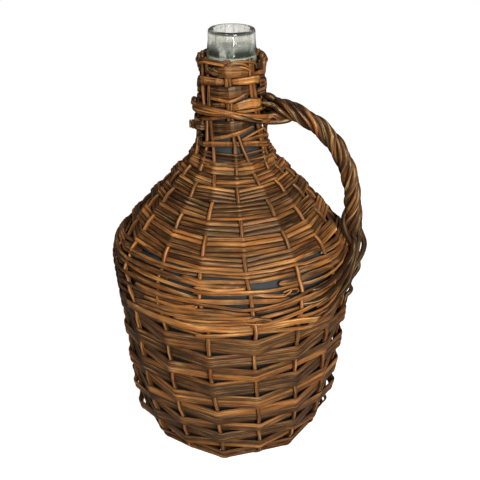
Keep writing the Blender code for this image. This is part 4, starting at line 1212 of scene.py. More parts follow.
# Strands of the front of the neck, seen as the table above: the band that they belong to, section, width,
# tone, and the places
NECK_STRANDS = [
    (1, "flat", 2.4, 0.75, [
        (-84, 271.8, 0.4), (-75, 274.3, 0.6), (-45, 276.9, 1), (-30, 278.9, 1), (-5, 280.3, 0.2),
        (3, 280.3, -1), (12, 280, -0.6), (20, 279.8, 0.5), (40, 278.1, 1), (60, 275.2, 1),
        (80, 272.3, 0.5),
    ]),
    (1, "flat", 2.3, 0.55, [
        (-84, 269.8, 0.4), (-75, 272.1, 0.6), (-45, 274.8, 1), (-30, 276.8, 1), (-5, 278.2, 0.2),
        (3, 278.1, -1), (12, 278, -0.6), (20, 277.8, 0.5), (40, 275.7, 1), (60, 272.7, 1),
        (80, 269.8, 0.5),
    ]),
    (1, "flat", 3.4, 0.6, [
        (16, 281.2, -0.6), (30, 282.3, 0.4), (50, 282.4, 1), (65, 280.4, 1.1), (80, 277.3, 0.6),
    ]),
    (1, "flat", 3.6, 0.2, [(-84, 276.3, 0.3), (-66, 279.8, 0.4), (-52, 282.3, 0.2), (-46, 282.8, -1)]),
    (2, "flat", 3.4, 0.65, [
        (-36, 281.6, -1), (-28, 282.6, 0), (-15, 284.3, 0.8), (-5, 285.6, 1), (2, 286.9, 1.3),
        (6, 287.4, 1.4), (12, 288.5, 1.1), (20, 289.6, 0.4), (33, 291.2, -0.6),
    ]),
    (2, "round", 2.1, 0.85, [
        (14, 282.2, -0.4), (30, 285.8, 0.6), (45, 287.5, 1.3), (52, 287.8, 1.5), (58, 285.3, 1.4),
        (63, 283.1, 1.1),
    ]),
    (2, "flat", 9.6, 0.05, [
        (-34, 291, -1), (-20, 291.6, 0), (-8, 292.4, 0.8), (-1, 292.8, 1.2), (4, 293.2, 1),
        (15, 294, 0.6, 0.72), (25, 294.6, 0, 0.5), (40, 295.4, -1, 0.25),
    ]),
    (2, "flat", 7.6, 0.1, [
        (-100, 283.3, 3.2), (-92, 284.3, 2.4), (-80, 286.3, 1.4), (-66, 287.8, 1), (-52, 289.8, 0.5),
        (-42, 290.8, -1),
    ]),
    (2, "flat", 3.4, 0.7, [
        (-60, 294.4, 0), (-48, 296.1, 0.8), (-30, 298.4, 1), (-15, 300.2, 1), (-5, 301.2, 0.7),
        (4, 301, 0.4),
    ]),
    (3, "flat", 8.2, 1.0, [
        (-6, 307, -1, 0.6), (3, 307.6, -0.3, 0.66), (10, 308.4, 0.7, 0.76), (20, 309.5, 1.1, 0.92),
        (30, 309.9, 1.3), (40, 309.1, 1.5, 0.96), (47, 308.8, 1.3, 0.9), (52, 308.5, 0.2, 0.85),
    ]),
    (3, "flat", 2.2, 0.9, [
        (7, 304.4, 0.4), (20, 304.3, 1), (35, 304.1, 1.5), (50, 303.6, 1.4), (57, 302.8, 0.5),
    ]),
    (3, "flat", 3.4, 0.4, [
        (-86, 303.8, 0.5), (-65, 305.6, 0.8), (-52, 306.4, 0.2), (-40, 307.2, -1), (-28, 308.3, 0),
        (-15, 309.2, 0), (-8, 309.2, -1),
    ]),
    (3, "flat", 5.6, 0.15, [(50, 304.3, -0.6), (60, 304.8, 0.4), (72, 303.8, 1), (86, 301.8, 0.6)]),
    (4, "flat", 2.9, 0.6, [
        (-44, 313.2, -1), (-34, 313.5, 0.3), (-20, 313, 0.8), (-8, 312, 1), (-3, 311.9, 1.3), (5, 313, 1),
        (12, 314.3, 0.8), (20, 316.2, 0.6), (30, 317.6, -0.4), (37, 318, -1),
    ]),
    (4, "flat", 9.0, 0.1, [
        (-46, 317.9, -1), (-36, 318.3, 0), (-20, 318.5, 0.7), (-8, 318.4, 1.1), (-4, 318.4, 1.4),
        (5, 319.3, 1), (15, 319.8, 0.6, 0.87), (27, 320.8, 0, 0.7), (36, 321.2, -1, 0.6),
    ]),
    (4, "flat", 7.4, 0.12, [(44, 316.8, -1), (51, 316.8, 0.3), (65, 316.4, 1), (80, 314.3, 0.8)]),
    (4, "flat", 5.0, 0.3, [(-88, 314.3, 0.7), (-74, 315.8, 1), (-62, 316.8, 0.2), (-50, 317.1, -1)]),
    (4, "flat", 3.4, 0.25, [(-88, 309.4, 0.7), (-74, 310.8, 0.9), (-58, 311.8, 0.2), (-46, 311.8, -1)]),
    (5, "flat", 6.9, 0.6, [
        (-88, 321, 0.5), (-72, 323, 1), (-58, 324.9, 1.5), (-48, 325.3, 1.4), (-25, 326.2, 0.9, 0.85),
        (-16, 326.3, 0.2, 0.75), (-9, 326.2, -1, 0.7),
    ]),
    (5, "flat", 6.4, 0.95, [
        (-3, 326.8, -1, 0.7), (3, 327, 0, 0.72), (12, 327, 0.8, 0.86), (25, 326.9, 1.1, 0.95),
        (38, 327.1, 1.5), (47, 326.6, 1.2), (53, 326, 0.2),
    ]),
    (5, "flat", 7.0, 0.12, [(46, 325.8, -0.8), (56, 325.6, 0.2), (68, 324.4, 1), (82, 322.3, 0.8)]),
    (6, "flat", 9.4, 0.5, [
        (-34, 333.9, -0.8), (-20, 333.8, 0.2), (-13, 334.1, 1), (-9, 334.3, 1.4), (0, 334.1, 1),
        (15, 334.4, 0.5), (28, 333.7, -0.2), (36, 333, -1),
    ]),
    (6, "flat", 5.6, 0.0, [
        (-54, 332.2, -0.8), (-46, 333.4, -0.2), (-38, 334.1, 0.3), (-30, 333.4, 0.5), (-22, 332.2, 0.1),
    ]),
    (6, "round", 1.5, 0.1, [(-46, 329.6, 0.5), (-38, 333.3, 0.9), (-28, 336.4, 0.8)]),
    (6, "round", 1.4, 0.3, [(-44, 335.4, 0.8), (-34, 332.2, 0.9), (-25, 331, 0.6)]),
    (6, "flat", 3.6, 0.8, [(40, 331.2, -0.6), (50, 331.4, 0.9), (60, 330.8, 1.1), (72, 329.2, 0.8)]),
    (6, "flat", 4.6, 0.1, [(44, 336.4, -0.4), (54, 336.8, -0.2), (66, 335.8, 0), (80, 334.3, 0.3)]),
    (6, "flat", 5.0, 0.3, [(-88, 330.3, 0.6), (-74, 331.8, 0.8), (-64, 332.8, 0)]),
    (7, "round", 2.4, 0.95, [
        (-86, 333.8, 1), (-70, 336, 1.3), (-60, 337.6, 1.4), (-50, 339.2, 1.4), (-40, 339.6, 1.4),
        (-25, 339.6, 1.4), (-14, 339.2, 1.2), (-10, 338.3, 0.3), (-7, 337, -0.8),
    ]),
    (7, "round", 1.8, 0.45, [
        (-78, 335.8, 0.4), (-62, 339.6, 0.8), (-50, 341.3, 0.9), (-35, 341.5, 0.9), (-20, 341.4, 0.9),
        (-10, 340.7, 0.6), (-4, 339.4, 0),
    ]),
    (7, "round", 2.2, 0.7, [
        (-9, 336.4, -0.2), (-5, 338.6, 1.2), (-1, 340.2, 1.4), (5, 341.4, 1.3), (15, 341.7, 1.1),
        (25, 341.2, 1.1), (34, 340, 0.6), (44, 338.8, -0.4),
    ]),
    (7, "round", 1.9, 0.85, [
        (-6, 337, 0.6), (-2, 339.2, 1.2), (3, 340.3, 1.4), (10, 340.4, 1.3), (20, 339.4, 1.2),
        (28, 337.2, 0.8), (34, 335, 0.2),
    ]),
    (7, "round", 1.5, 0.95, [(12, 338, 0.8), (22, 336.8, 1.1), (28, 335.3, 0.9), (35, 333.8, 0.2)]),
    (7, "round", 4.4, 0.45, [(63, 328, 0.5), (64, 333, 0.9), (64, 337, 0.9), (64, 340.5, 0.6)]),
    (7, "flat", 5.5, 0.0, [(54, 332, 0), (55, 337, 0.2), (55, 341, 0.2)]),
    (7, "round", 4.0, 0.05, [(-63, 334, 0.4), (-66, 338.5, 0.7), (-68, 343, 0.8), (-68, 347, 0.6)]),
    (7, "round", 3.0, 0.05, [(-57, 328, -0.6), (-56, 334, -0.4), (-56, 340, 0), (-58, 345, 0.3)]),
    (7, "round", 3.2, 0.2, [(-74, 333, 0.6), (-76, 338, 0.9), (-76, 342.5, 0.8)]),
    (7, "round", 2.6, 0.1, [(-62, 339, 0.2), (-70, 342.6, 0.5), (-78, 342.4, 0.8)]),
]
# Back of each band: the height and width of its strands there, in metres, and the azimuths that they span,
# counted from the camera's
NECK_BACKS = {
    1: [(0.2795, 0.0034), (0.2757, 0.0030)], 2: [(0.2890, 0.0088)], 3: [(0.3095, 0.0078), (0.3045, 0.0024)],
    4: [(0.3190, 0.0076)], 5: [(0.3268, 0.0076)], 6: [(0.3345, 0.0072)],
}
NECK_BACK_AZIMUTHS = (66, 294)
NECK_BACK_BEND = 0.0020
NECK_FRONT_BEND = 0.0008
# How far a strand keeps straight past a group of stakes, in degrees, and how far woven strands stray
GROUP_OVERHANG = 3
WEAVE_JITTER = 0.0004
# The two rods round the back of the top edge: where they run, and their thickness and wave
BORDER_AZIMUTHS = (70, 285)
BORDER_SAMPLES = 40
BORDER_HEIGHT = 0.3370
BORDER_RISE = 0.0022
BORDER_STANDOFF = 0.0016
BORDER_STEP = 0.0010
BORDER_THICKNESS = 0.0026
BORDER_WAVE = (0.0005, 0.3)


def make_neck_back(bundle, number):
    """Weave the back of a band through the groups of stakes there."""
    rng = bundle.rng
    start, end = NECK_BACK_AZIMUTHS
    for level, width in NECK_BACKS[number]:
        azimuth, depth = [CAMERA_AZIMUTH + start], [MIDDLE_DISTANCE]
        for step in range(2, len(GROUP_SIZES) - 1):
            middle = group_azimuth(step, level)
            side = 1 if (step + number) % 2 == 0 else -1
            half = np.degrees((GROUP_SIZES[step] - 1) * STAKE_RADIUS / cover_radius(level)) + GROUP_OVERHANG
            azimuth.extend([middle - half, middle + half])
            depth.extend([MIDDLE_DISTANCE + side * WEAVE_REACH] * 2)
        azimuth = np.array(azimuth + [CAMERA_AZIMUTH + end])
        depth = np.array(depth + [MIDDLE_DISTANCE])
        centre = level + np.array([WEAVE_JITTER * rng.gauss(0, 1) for _ in azimuth])
        tone = 0.3 + 0.5 * rng.random()
        add_laid(bundle, azimuth, centre, depth, constant(width, azimuth), NECK_BACK_BEND, tone=tone)


def add_border_rods(bundle):
    """Lay two rods round the back of the cover's top edge."""
    start, end = BORDER_AZIMUTHS
    azimuth = np.linspace(CAMERA_AZIMUTH + start, CAMERA_AZIMUTH + end, BORDER_SAMPLES)
    for strand in range(2):
        level = BORDER_HEIGHT + BORDER_RISE * strand + wander(bundle.rng, azimuth / 360, *BORDER_WAVE)
        out = MIDDLE_DISTANCE + STAKE_RADIUS + BORDER_STANDOFF - BORDER_STEP * strand
        add_smooth(bundle, azimuth, level, constant(out, azimuth), BORDER_THICKNESS)


def make_neck_rings(skein, border):
    """Bands wound round the neck and rods along its top edge, in front as the photograph shows them."""
    for number in range(1, 8):
        bundle = Bundle(f"willow_neck_{number}", 300 + number)
        for owner, kind, width, tone, places in NECK_STRANDS:
            if owner != number:
                continue
            azimuth, height, depth, shares = seen_places(places)
            if kind == "round":
                add_smooth(bundle, azimuth, height, depth, width / MILLIMETRES, tone=tone)
                continue
            widths = shares * width / MILLIMETRES
            add_laid(bundle, azimuth, height, depth, widths, NECK_FRONT_BEND, tone=tone, ends=0.85)
        if number in NECK_BACKS:
            make_neck_back(bundle, number)
            bundle.finish(skein, [f"neck_band_{number}"])
        else:
            add_border_rods(bundle)
            bundle.finish(border, ["top_border_rod"])


# The thin skeins where the stakes draw together
GATHER_STRANDS = 4
GATHER_HEIGHT = 0.2622
GATHER_RISE = 0.0025
GATHER_WIDTH = 0.0024
GATHER_SPREAD_SHARE = 0.12


def make_gather_band(material):
    """Four thin skeins woven round the stakes where they draw together."""
    bundle = Bundle("willow_gather", 320)
    rng = bundle.rng
    steps = np.arange(STAKE_COUNT + 1)
    front = np.where(steps % 2 == 1, 1.0, -1.0)
    for strand in range(GATHER_STRANDS):
        jitter = np.array([WEAVE_JITTER * rng.gauss(0, 1) for _ in steps])
        level = GATHER_HEIGHT + GATHER_RISE * strand + jitter
        azimuth = np.array([drawn_azimuth(BACK_STAKE + int(step), level[step]) for step in steps])
        depth = MIDDLE_DISTANCE + front * (WEAVE_REACH - STAKE_SWAY)
        width = np.array([GATHER_WIDTH * (1 + GATHER_SPREAD_SHARE * rng.gauss(0, 1)) for _ in steps])
        add_laid(bundle, azimuth, level, depth, width, HIGH_BEND, LENS_SECTION)
    bundle.finish(material, ["gather_band"])


# The two rods wound round the neck: (azimuth, height, layer) in front, and then how they twist at the back
WRAP_RODS = [
    [
        (-86, 303, 2.2), (-78, 304, 2), (-68, 304.3, 1.6), (-58, 304.6, 1.4), (-46, 305.2, 1.7),
        (-35, 305.4, 1.8), (-20, 305, 1.8), (-8, 304.2, 1.8), (5, 302.8, 1.5), (20, 301.2, 1.6),
        (35, 299.4, 1.9), (50, 297.6, 1.8), (65, 295.6, 1.8), (80, 294, 2),
    ],
    [
        (-86, 300.4, 1.4), (-78, 300.2, 1.6), (-66, 300.2, 2.2), (-55, 300.8, 2), (-40, 301.6, 1.6),
        (-25, 302, 1.5), (-12, 302.3, 1.7), (-2, 302, 2.1), (6, 301, 2.2), (20, 298.8, 2),
        (35, 296.6, 1.9), (50, 294.4, 2), (65, 291.8, 2.1), (80, 290.2, 2),
    ],
]
WRAP_THICKNESS = 0.0040
WRAP_FRONT_STANDOFF = 0.0004
WRAP_BACK_AZIMUTHS = (92, 264)
WRAP_BACK_SAMPLES = 24
WRAP_BACK_TURNS = 6
WRAP_BACK_START_TURN = 0.5
# The azimuths between which the twist eases in and out, and those between which the ring is level
WRAP_EASE_AZIMUTHS = (110, 250)
WRAP_EASE_SHARE = 0.4
WRAP_LEVEL_AZIMUTHS = (120, 230)
WRAP_BACK_HEIGHT = 0.2990
WRAP_BACK_RISE = 0.0020
WRAP_BACK_STANDOFF = 0.0024
WRAP_UP_SWING = 0.0019
WRAP_OUT_SWING = 0.0014


def make_neck_wrap(material):
    """Two rods twisted round each other in a ring that dips towards the handle."""
    bundle = Bundle("willow_neck_wrap", 330)
    first, last = WRAP_BACK_AZIMUTHS
    back = np.linspace(first, last, WRAP_BACK_SAMPLES)
    eases = [WRAP_EASE_SHARE, 1, 1, WRAP_EASE_SHARE]
    ease = np.interp(back, [first, *WRAP_EASE_AZIMUTHS, last], eases)
    for rod, places in enumerate(WRAP_RODS):
        azimuth, height, depth, _ = seen_places(places, WRAP_FRONT_STANDOFF)
        turn = WRAP_BACK_TURNS * (back - first) / (last - first) + rod / 2
        turn = 2 * math.pi * turn + WRAP_BACK_START_TURN
        levels = [height[-1], WRAP_BACK_HEIGHT, WRAP_BACK_HEIGHT + WRAP_BACK_RISE, height[0]]
        level = np.interp(back, [first, *WRAP_LEVEL_AZIMUTHS, last], levels)
        out = MIDDLE_DISTANCE + STAKE_RADIUS + WRAP_BACK_STANDOFF + WRAP_OUT_SWING * ease * np.cos(turn)
        azimuth = np.concatenate([azimuth, back + CAMERA_AZIMUTH, [azimuth[0] + 360]])
        height = np.concatenate([height, level + WRAP_UP_SWING * ease * np.sin(turn), [height[0]]])
        depth = np.concatenate([depth, out, [depth[0]]])
        add_smooth(bundle, azimuth, height, depth, WRAP_THICKNESS, tone=0.85 - 0.15 * rod, ends=0.9)
    bundle.finish(material, ["neck_wrap_rod_1", "neck_wrap_rod_2"])


# Base: the crossed sticks, the rings round them, and the two skeins round the foot as (height, width)
STICK_REACH = 0.0620
STICK_SAMPLES = 20
STICK_SPACING = 0.0100
STICK_HEIGHT = 0.0008
STICK_WIDTH = 0.0070
RING_COUNT = 11
RING_RADIUS = 0.0335
RING_STEP = 0.0049
FOOT_SKEINS = [(0.0012, 0.0028), (0.0026, 0.0026)]
FOOT_BEHIND_SHARE = 0.2


def add_sticks(bundle):
    """Cross three sticks over three others."""
    across = np.linspace(-STICK_REACH, STICK_REACH, STICK_SAMPLES)
    level = constant(STICK_HEIGHT, across)
    width, depth = constant(STICK_WIDTH, across), constant(SKEIN_DEPTH, across)
    for axes in ([0, 1, 2], [1, 0, 2]):
        for place in (-1, 0, 1):
            path = np.stack([across, constant(STICK_SPACING * place, across), level], axis=1)[:, axes]
            bundle.add(path, downward(path), width, depth, FLAT_SECTION)


def make_base(material):
    """Crossed sticks under the bottle, with rings woven round the stakes outside them."""
    bundle = Bundle("willow_base", 350)
    rng = bundle.rng
    add_sticks(bundle)
    steps = np.arange(STAKE_COUNT + 1)
    azimuth = np.array([stake_azimuth(BACK_STAKE + int(step), STAKE_FOOT_HEIGHT) for step in steps])
    for ring in range(RING_COUNT):
        points = []
        for step in steps:
            angle = math.radians(azimuth[step])
            side = 1 if (step + ring) % 2 == 0 else -1
            reach = RING_RADIUS + RING_STEP * ring + WEAVE_JITTER * rng.gauss(0, 1)
            level = COVER_DEPTH - MIDDLE_DISTANCE - side * WEAVE_REACH
            points.append((reach * math.sin(angle), -reach * math.cos(angle), level))
        values = np.column_stack([downward(points), constant(RING_STEP, points)])
        path, along = bent(np.array(points), values, LOW_BEND)
        bundle.add(path, unit(along[:, :3]), along[:, 3], constant(SKEIN_DEPTH, path), FLAT_SECTION)
    for strand, (height, width) in enumerate(FOOT_SKEINS):
        front = np.where((steps + strand) % 2 == 0, 1.0, FOOT_BEHIND_SHARE)
        depth = MIDDLE_DISTANCE + front * WEAVE_REACH
        level, widths = constant(height, steps), constant(width, steps)
        add_laid(bundle, azimuth, level, depth, widths, LOW_BEND, tone=0.8)
    bundle.finish(material, ["base_cross", "base_hoop"])


# Handle

HANDLE_STEPS = 8
HANDLE_SAMPLES = 160
BOW_RADIUS = 0.0030
# Thick and thin rods take turns in the rope: radius, distance from its middle line, and tone
ROPE_RODS = [(0.0028, 0.0047, 0.75), (0.0022, 0.0044, 0.30)]
# At the neck the rods spread: how far at the rope's start, over what length, and where they reach the neck
ROPE_FLARE = 0.0022
ROPE_FLARE_LENGTH = 0.0220
NECK_REACH = 0.0250
HEAD_REACH = 0.0305
HEAD_SPREAD_SHARE = 1.5
HEAD_SIDE_SHARES = (0.9, 0.95)
HEAD_RISE_SHARE = 0.9
# Waves along a rod, as size and length: its turn in radians, shares of its distance and thickness, its tone
ROD_TURN_WAVE = (0.10, 0.06)
ROD_DISTANCE_WAVE = (0.05, 0.05)
ROD_SIZE_WAVE = (0.08, 0.05)
ROD_TONE_WAVE = (0.15, 0.04)
ROPE_PICK = 4
ROPE_STEPS = 4
# Below the rope the rods are thinner, the first two less so, and darker
FOOT_SIZE_HEIGHTS = (0.185, 0.205)
FOOT_SIZE_SHARES = [0.86, 0.86, 0.76, 0.76, 0.76, 0.76]
FOOT_TONE_HEIGHTS = (0.185, 0.225)
FOOT_TONE_DROP = 0.85
# How each rod runs from the rope's lower end: (azimuth from the camera's, distance from +Z, height) points
ROPE_FEET = [
    [
        (79, 112.3, 191), (79, 113.6, 185), (78.5, 112.3, 177), (77.5, 109, 169.5), (76, 106, 164),
        (72, 105, 159), (64, 103.6, 154), (56, 99, 151),
    ],
    [
        (81, 108.6, 189), (81.5, 109, 184.5), (82, 106.4, 179.5), (82.8, 108.4, 174), (83, 109, 169),
        (82.2, 110.4, 164), (81, 110.8, 160), (79.8, 108.2, 155), (79, 105, 150), (78, 104, 146),
        (78.8, 105, 142.4), (79.2, 106.2, 139.4), (78.8, 105, 136.4), (77.6, 102.4, 134),
        (76, 101.8, 130), (72, 100.5, 126), (64, 96.5, 122),
    ],
    [
        (79.5, 104, 190), (83, 104.6, 184), (90, 105.4, 178), (100, 105, 173), (112, 103.8, 170),
        (122, 98, 169),
    ],
    [
        (76.5, 103.4, 191), (74, 104.2, 187), (68, 104.8, 183.5), (60, 104.4, 181), (50, 103.9, 178.5),
        (42, 103.5, 177.5), (36, 99, 177),
    ],
    [
        (75, 105.4, 190), (72.5, 105.8, 183), (68, 105.8, 177), (60, 105.2, 172), (50, 104.4, 168.5),
        (40, 103.6, 167), (32, 99, 166.5),
    ],
    [
        (76.5, 109, 190), (76, 108.6, 182), (75, 107.6, 174), (72, 106.6, 166), (66, 105.6, 160),
        (58, 104.2, 156), (48, 103, 153.5), (40, 98.5, 152.5),
    ],
]
# The dark rod end that shows between them, and its thickness
FOOT_END = [
    (80, 99.5, 222), (79, 97, 217), (78, 95.3, 212), (77, 95.2, 206), (76, 97.6, 199), (76, 101.5, 192),
    (76, 104, 186),
]
FOOT_END_THICKNESS = 0.0050
FOOT_END_STEPS = 6
# The rod from the neck to the handle's underside: azimuths from the camera's, heights, and then its points
TIE_NECK_AZIMUTHS = [8.0, 25.0, 42.0]
TIE_NECK_HEIGHTS = [0.3012, 0.2984, 0.2955]
TIE_DEPTH = 0.0095
TIE_POINTS = [
    (0.0270, -0.0110, 0.2925), (0.0350, -0.0060, 0.2910), (0.0430, -0.0035, 0.2916), (0.0490, 0.0, 0.2927),
]
TIE_OUTWARD = (0.5, -0.8, 0.3)
TIE_WIDTH = 0.0046
TIE_THICKNESS = 0.0036
TIE_STEPS = 8


def handle_line():
    """Return evenly spaced points of the handle's middle line from the neck on, and their places."""
    points = []
    for reach_share, height_share in HANDLE_PATH_SHARES:
        across = HANDLE_START + (BODY_RADIUS + HANDLE_STANDOFF - HANDLE_START) * reach_share
        height = HANDLE_FOOT_HEIGHT + (HANDLE_HEAD_HEIGHT - HANDLE_FOOT_HEIGHT) * height_share
        points.append((across, 0.0, height))
    path = smooth_path(points, HANDLE_STEPS)
    along = lengths_along(path)
    places = np.linspace(0.0, along[-1], HANDLE_SAMPLES)
    return np.stack([np.interp(places, along, path[:, axis]) for axis in range(3)], axis=1), places


def polar_points(places):
    """Return points from (azimuth from the camera's, distance from +Z, height) places in millimetres."""
    points = []
    for azimuth, reach, height in places:
        angle = math.radians(azimuth + CAMERA_AZIMUTH)
        points.append((reach * math.sin(angle), -reach * math.cos(angle), height))
    return np.array(points) / MILLIMETRES


def make_bow(material, line, outward):
    """The core rod inside the handle's rope, from the neck to the foot."""
    bow = Bundle("willow_bow", 400)
    core = np.vstack([[(NECK_REACH, 0.0, HANDLE_HEAD_HEIGHT)], line])
    width = constant(2 * BOW_RADIUS, core)
    bow.add(core, np.vstack([outward[:1], outward]), width, width, ROUND_SECTION, tone=0.1)
    bow.finish(material, ["handle_bow"])


def rope_path(strand, line, places, across, outward, rng):
    """Return how a rod runs: off the neck, round the rope's middle line, and down into the cover."""
    drift = wander(rng, places, *ROD_TURN_WAVE)
    _, distance, _ = ROPE_RODS[strand % 2]
    turns = (places[-1] - places) / HANDLE_TURN_LENGTH + strand / HANDLE_ROD_COUNT
    angle = 2 * math.pi * turns + math.radians(HANDLE_END_TURN) + drift
    flare = ROPE_FLARE * (1 - smoothstep(places, 0.0, ROPE_FLARE_LENGTH))
    swing = (distance + flare) * (1 + wander(rng, places, *ROD_DISTANCE_WAVE))
    path = line + swing[:, None] * (np.cos(angle)[:, None] * outward + np.sin(angle)[:, None] * across)
    spread = HEAD_SPREAD_SHARE * swing[0]
    far_share, near_share = HEAD_SIDE_SHARES
    rise, side = spread * math.cos(angle[0]), far_share * spread * math.sin(angle[0])
    start = [
        (NECK_REACH, side, HANDLE_HEAD_HEIGHT + rise),
        (HEAD_REACH, near_share * side, HANDLE_HEAD_HEIGHT + HEAD_RISE_SHARE * rise),
    ]
    return smooth_path(np.vstack([start, path[::ROPE_PICK], polar_points(ROPE_FEET[strand])]), ROPE_STEPS)


def make_rope_rod(material, strand, line, places, across, outward):
    """One of the rope's rods, which spreads onto the neck, and below parts from the rope into the cover."""
    bundle = Bundle(f"willow_rod_{strand + 1}", 410 + strand)
    rng = bundle.rng
    path = rope_path(strand, line, places, across, outward, rng)
    height = path[:, 2]
    along = lengths_along(path)
    nearest = np.argmin(np.linalg.norm(path[:, None, :] - line[None, :, :], axis=2), axis=1)
    facing = path - line[nearest] * (path[:, 2:3] > HANDLE_FOOT_HEIGHT)
    facing[:, 2] *= height > HANDLE_FOOT_HEIGHT
    radius, _, tone = ROPE_RODS[strand % 2]
    slim = FOOT_SIZE_SHARES[strand]
    full = slim + (1 - slim) * smoothstep(height, *FOOT_SIZE_HEIGHTS)
    size = 2 * radius * (1 + wander(rng, along, *ROD_SIZE_WAVE)) * full
    darker = FOOT_TONE_DROP * (1 - smoothstep(height, *FOOT_TONE_HEIGHTS))
    tone = tone + wander(rng, along, *ROD_TONE_WAVE) - darker
    bundle.add(path, unit(facing), size, size, ROUND_SECTION, tone=tone)
    bundle.finish(material, [f"handle_rod_{strand + 1}"])


def make_rod_end(material):
    """The dark end of a rod inside the handle's foot."""
    bundle = Bundle("willow_rod_end", 440)
    path = smooth_path(polar_points(FOOT_END), FOOT_END_STEPS)
    outward = unit(path * np.array([1.0, 1.0, 0.0]))
    width = constant(FOOT_END_THICKNESS, path)
    bundle.add(path, outward, width, width, ROUND_SECTION, tone=-0.8)
    bundle.finish(material)


def make_tie(material):
    """The rod that leaves the neck's twisted pair and runs under the handle."""
    bundle = Bundle("willow_tie", 430)
    azimuth = CAMERA_AZIMUTH + np.array(TIE_NECK_AZIMUTHS)
    first, _ = OUTLINE.points(azimuth, np.array(TIE_NECK_HEIGHTS), TIE_DEPTH)
    path = smooth_path(np.vstack([first, TIE_POINTS]), TIE_STEPS)
    outward = np.tile(np.array(TIE_OUTWARD), (len(path), 1))
    width, depth = constant(TIE_WIDTH, path), constant(TIE_THICKNESS, path)
    bundle.add(path, outward, width, depth, ROUND_SECTION, tone=0.15)
    bundle.finish(material)


def make_handle(material):
    """Rods twisted round a bow, a rod end inside their foot, and the rod under their head."""
    line, places = handle_line()
    ahead = unit(np.gradient(line, axis=0))
    across = np.tile(np.array([0.0, 1.0, 0.0]), (len(line), 1))
    outward = unit(np.cross(ahead, across))
    make_bow(material, line, outward)
    for strand in range(HANDLE_ROD_COUNT):
        make_rope_rod(material, strand, line, places, across, outward)
    make_rod_end(material)
    make_tie(material)


# Stage

WHITE = (1.0, 1.0, 1.0, 1.0)
FLOOR_SIZE = 8.0
FLOOR_DROP = 0.0002
FLOOR_COLOUR = (0.22, 0.22, 0.22, 1.0)
FLOOR_ROUGHNESS = 0.9
FLOOR_GLOW = 0.94
WORLD_LIGHT = 0.16
LAMP_TARGET = (0.0, 0.0, 0.18)
# Lamps: name, azimuth from the camera's, elevation, distance, width, height by width, and power in watts
LAMPS = [
    ("key", 21, 28, 1.2, 0.34, 1.0, 22.0),
    ("glint_left", -30, 50, 1.1, 0.10, 1.0, 2.2),
    ("glint_right", 11, 51, 1.1, 0.08, 1.0, 2.2),
    ("glint_low", 10, 5, 0.5, 0.05, 4.0, 0.9),
    ("fill", -70, 25, 1.4, 0.9, 1.0, 0.1),
]


def add_aimed(name, data, azimuth, elevation, distance, target):
    """Link a camera or lamp that stands off from a target and looks at it."""
    thing = bpy.data.objects.new(name, data)
    thing.location = polar(azimuth, elevation, distance, target)
    direction = Vector(target) - thing.location
    thing.rotation_mode = "QUATERNION"
    thing.rotation_quaternion = direction.to_track_quat("-Z", "Y")
    bpy.context.scene.collection.objects.link(thing)
    return thing


def make_camera():
    """The camera that was fitted to the photograph."""
    data = bpy.data.cameras.new("camera")
    data.lens = CAMERA_LENS
    data.sensor_width = CAMERA_SENSOR
    data.clip_start = CAMERA_CLIP
    camera = add_aimed("camera", data, CAMERA_AZIMUTH, CAMERA_ELEVATION, CAMERA_DISTANCE, CAMERA_TARGET)
    bpy.context.scene.camera = camera


def make_lamps():
    """Soft rectangular lamps round the bottle."""
    for name, azimuth, elevation, distance, width, rise, power in LAMPS:
        data = bpy.data.lights.new(name, "AREA")
        data.shape = "RECTANGLE"
        data.size = width
        data.size_y = width * rise
        data.energy = power
        add_aimed(name, data, CAMERA_AZIMUTH + azimuth, elevation, distance, LAMP_TARGET)


def seen_share(tree):
    """Return a socket that is 1 for what the camera sees, straight or through glass, and else 0."""
    path = tree.nodes.new("ShaderNodeLightPath")
    seen = tree.nodes.new("ShaderNodeMath")
    seen.operation = "MAXIMUM"
    tree.links.new(path.outputs["Is Camera Ray"], seen.inputs[0])
    tree.links.new(path.outputs["Is Transmission Ray"], seen.inputs[1])
    return seen.outputs[0]


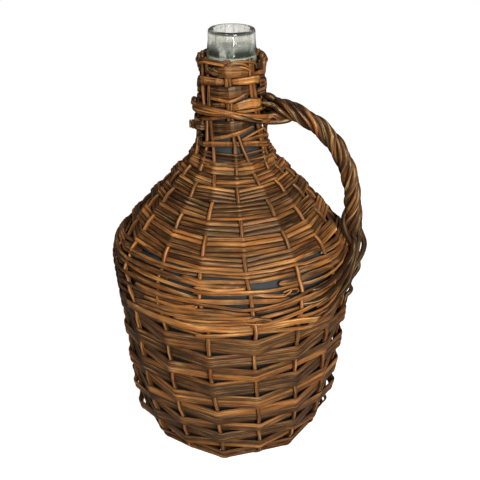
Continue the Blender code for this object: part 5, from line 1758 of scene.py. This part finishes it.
def make_floor():
    """Pale floor that keeps the shadow."""
    shade = Shade("floor")
    tree = shade.tree
    shade.shader.inputs["Base Color"].default_value = FLOOR_COLOUR
    shade.shader.inputs["Roughness"].default_value = FLOOR_ROUGHNESS
    strength = shade.math("MULTIPLY", seen_share(tree), FLOOR_GLOW)
    glow = shade.node("ShaderNodeEmission", Strength=strength)
    both = tree.nodes.new("ShaderNodeAddShader")
    tree.links.new(shade.shader.outputs[0], both.inputs[0])
    tree.links.new(glow.outputs[0], both.inputs[1])
    tree.links.new(both.outputs[0], tree.nodes["Material Output"].inputs["Surface"])
    bpy.ops.mesh.primitive_plane_add(size=FLOOR_SIZE, location=(0.0, 0.0, -FLOOR_DROP))
    floor = bpy.context.object
    floor.name = "floor"
    floor.data.materials.append(shade.material)


def make_world():
    """A world that is white where it is seen, and gives a soft light."""
    world = bpy.data.worlds.new("studio")
    bpy.context.scene.world = world
    world.use_nodes = True
    tree = world.node_tree
    shown = tree.nodes["Background"]
    soft = tree.nodes.new("ShaderNodeBackground")
    for background, strength in ((shown, 1.0), (soft, WORLD_LIGHT)):
        background.inputs["Color"].default_value = WHITE
        background.inputs["Strength"].default_value = strength
    both = tree.nodes.new("ShaderNodeMixShader")
    tree.links.new(seen_share(tree), both.inputs[0])
    tree.links.new(soft.outputs[0], both.inputs[1])
    tree.links.new(shown.outputs[0], both.inputs[2])
    tree.links.new(both.outputs[0], tree.nodes["World Output"].inputs["Surface"])


def main():
    """Load the part, dress it, and set up the stage."""
    for old in list(bpy.data.objects):
        bpy.data.objects.remove(old, do_unlink=True)
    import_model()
    skein = willow_material("skein_willow_finish", -0.03, 0.0, streak=1.4)
    stake = willow_material("stake_willow_finish", -0.09, 0.03, streak=1.5)
    handle = willow_material("handle_willow_finish", -0.23, 0.12, streak=2.8, rim=0.35, fibre=0.7)
    border = willow_material("border_willow_finish", -0.05, 0.06, streak=1.4, fibre=0.3)
    make_bottle(glass_material())
    make_stakes(stake)
    make_courses(skein)
    make_front_strands(skein)
    make_base(skein)
    make_gather_band(skein)
    make_neck_rings(skein, border)
    make_neck_wrap(border)
    make_handle(handle)
    make_camera()
    make_floor()
    make_world()
    make_lamps()
    bpy.context.scene.view_settings.view_transform = "Standard"


main()
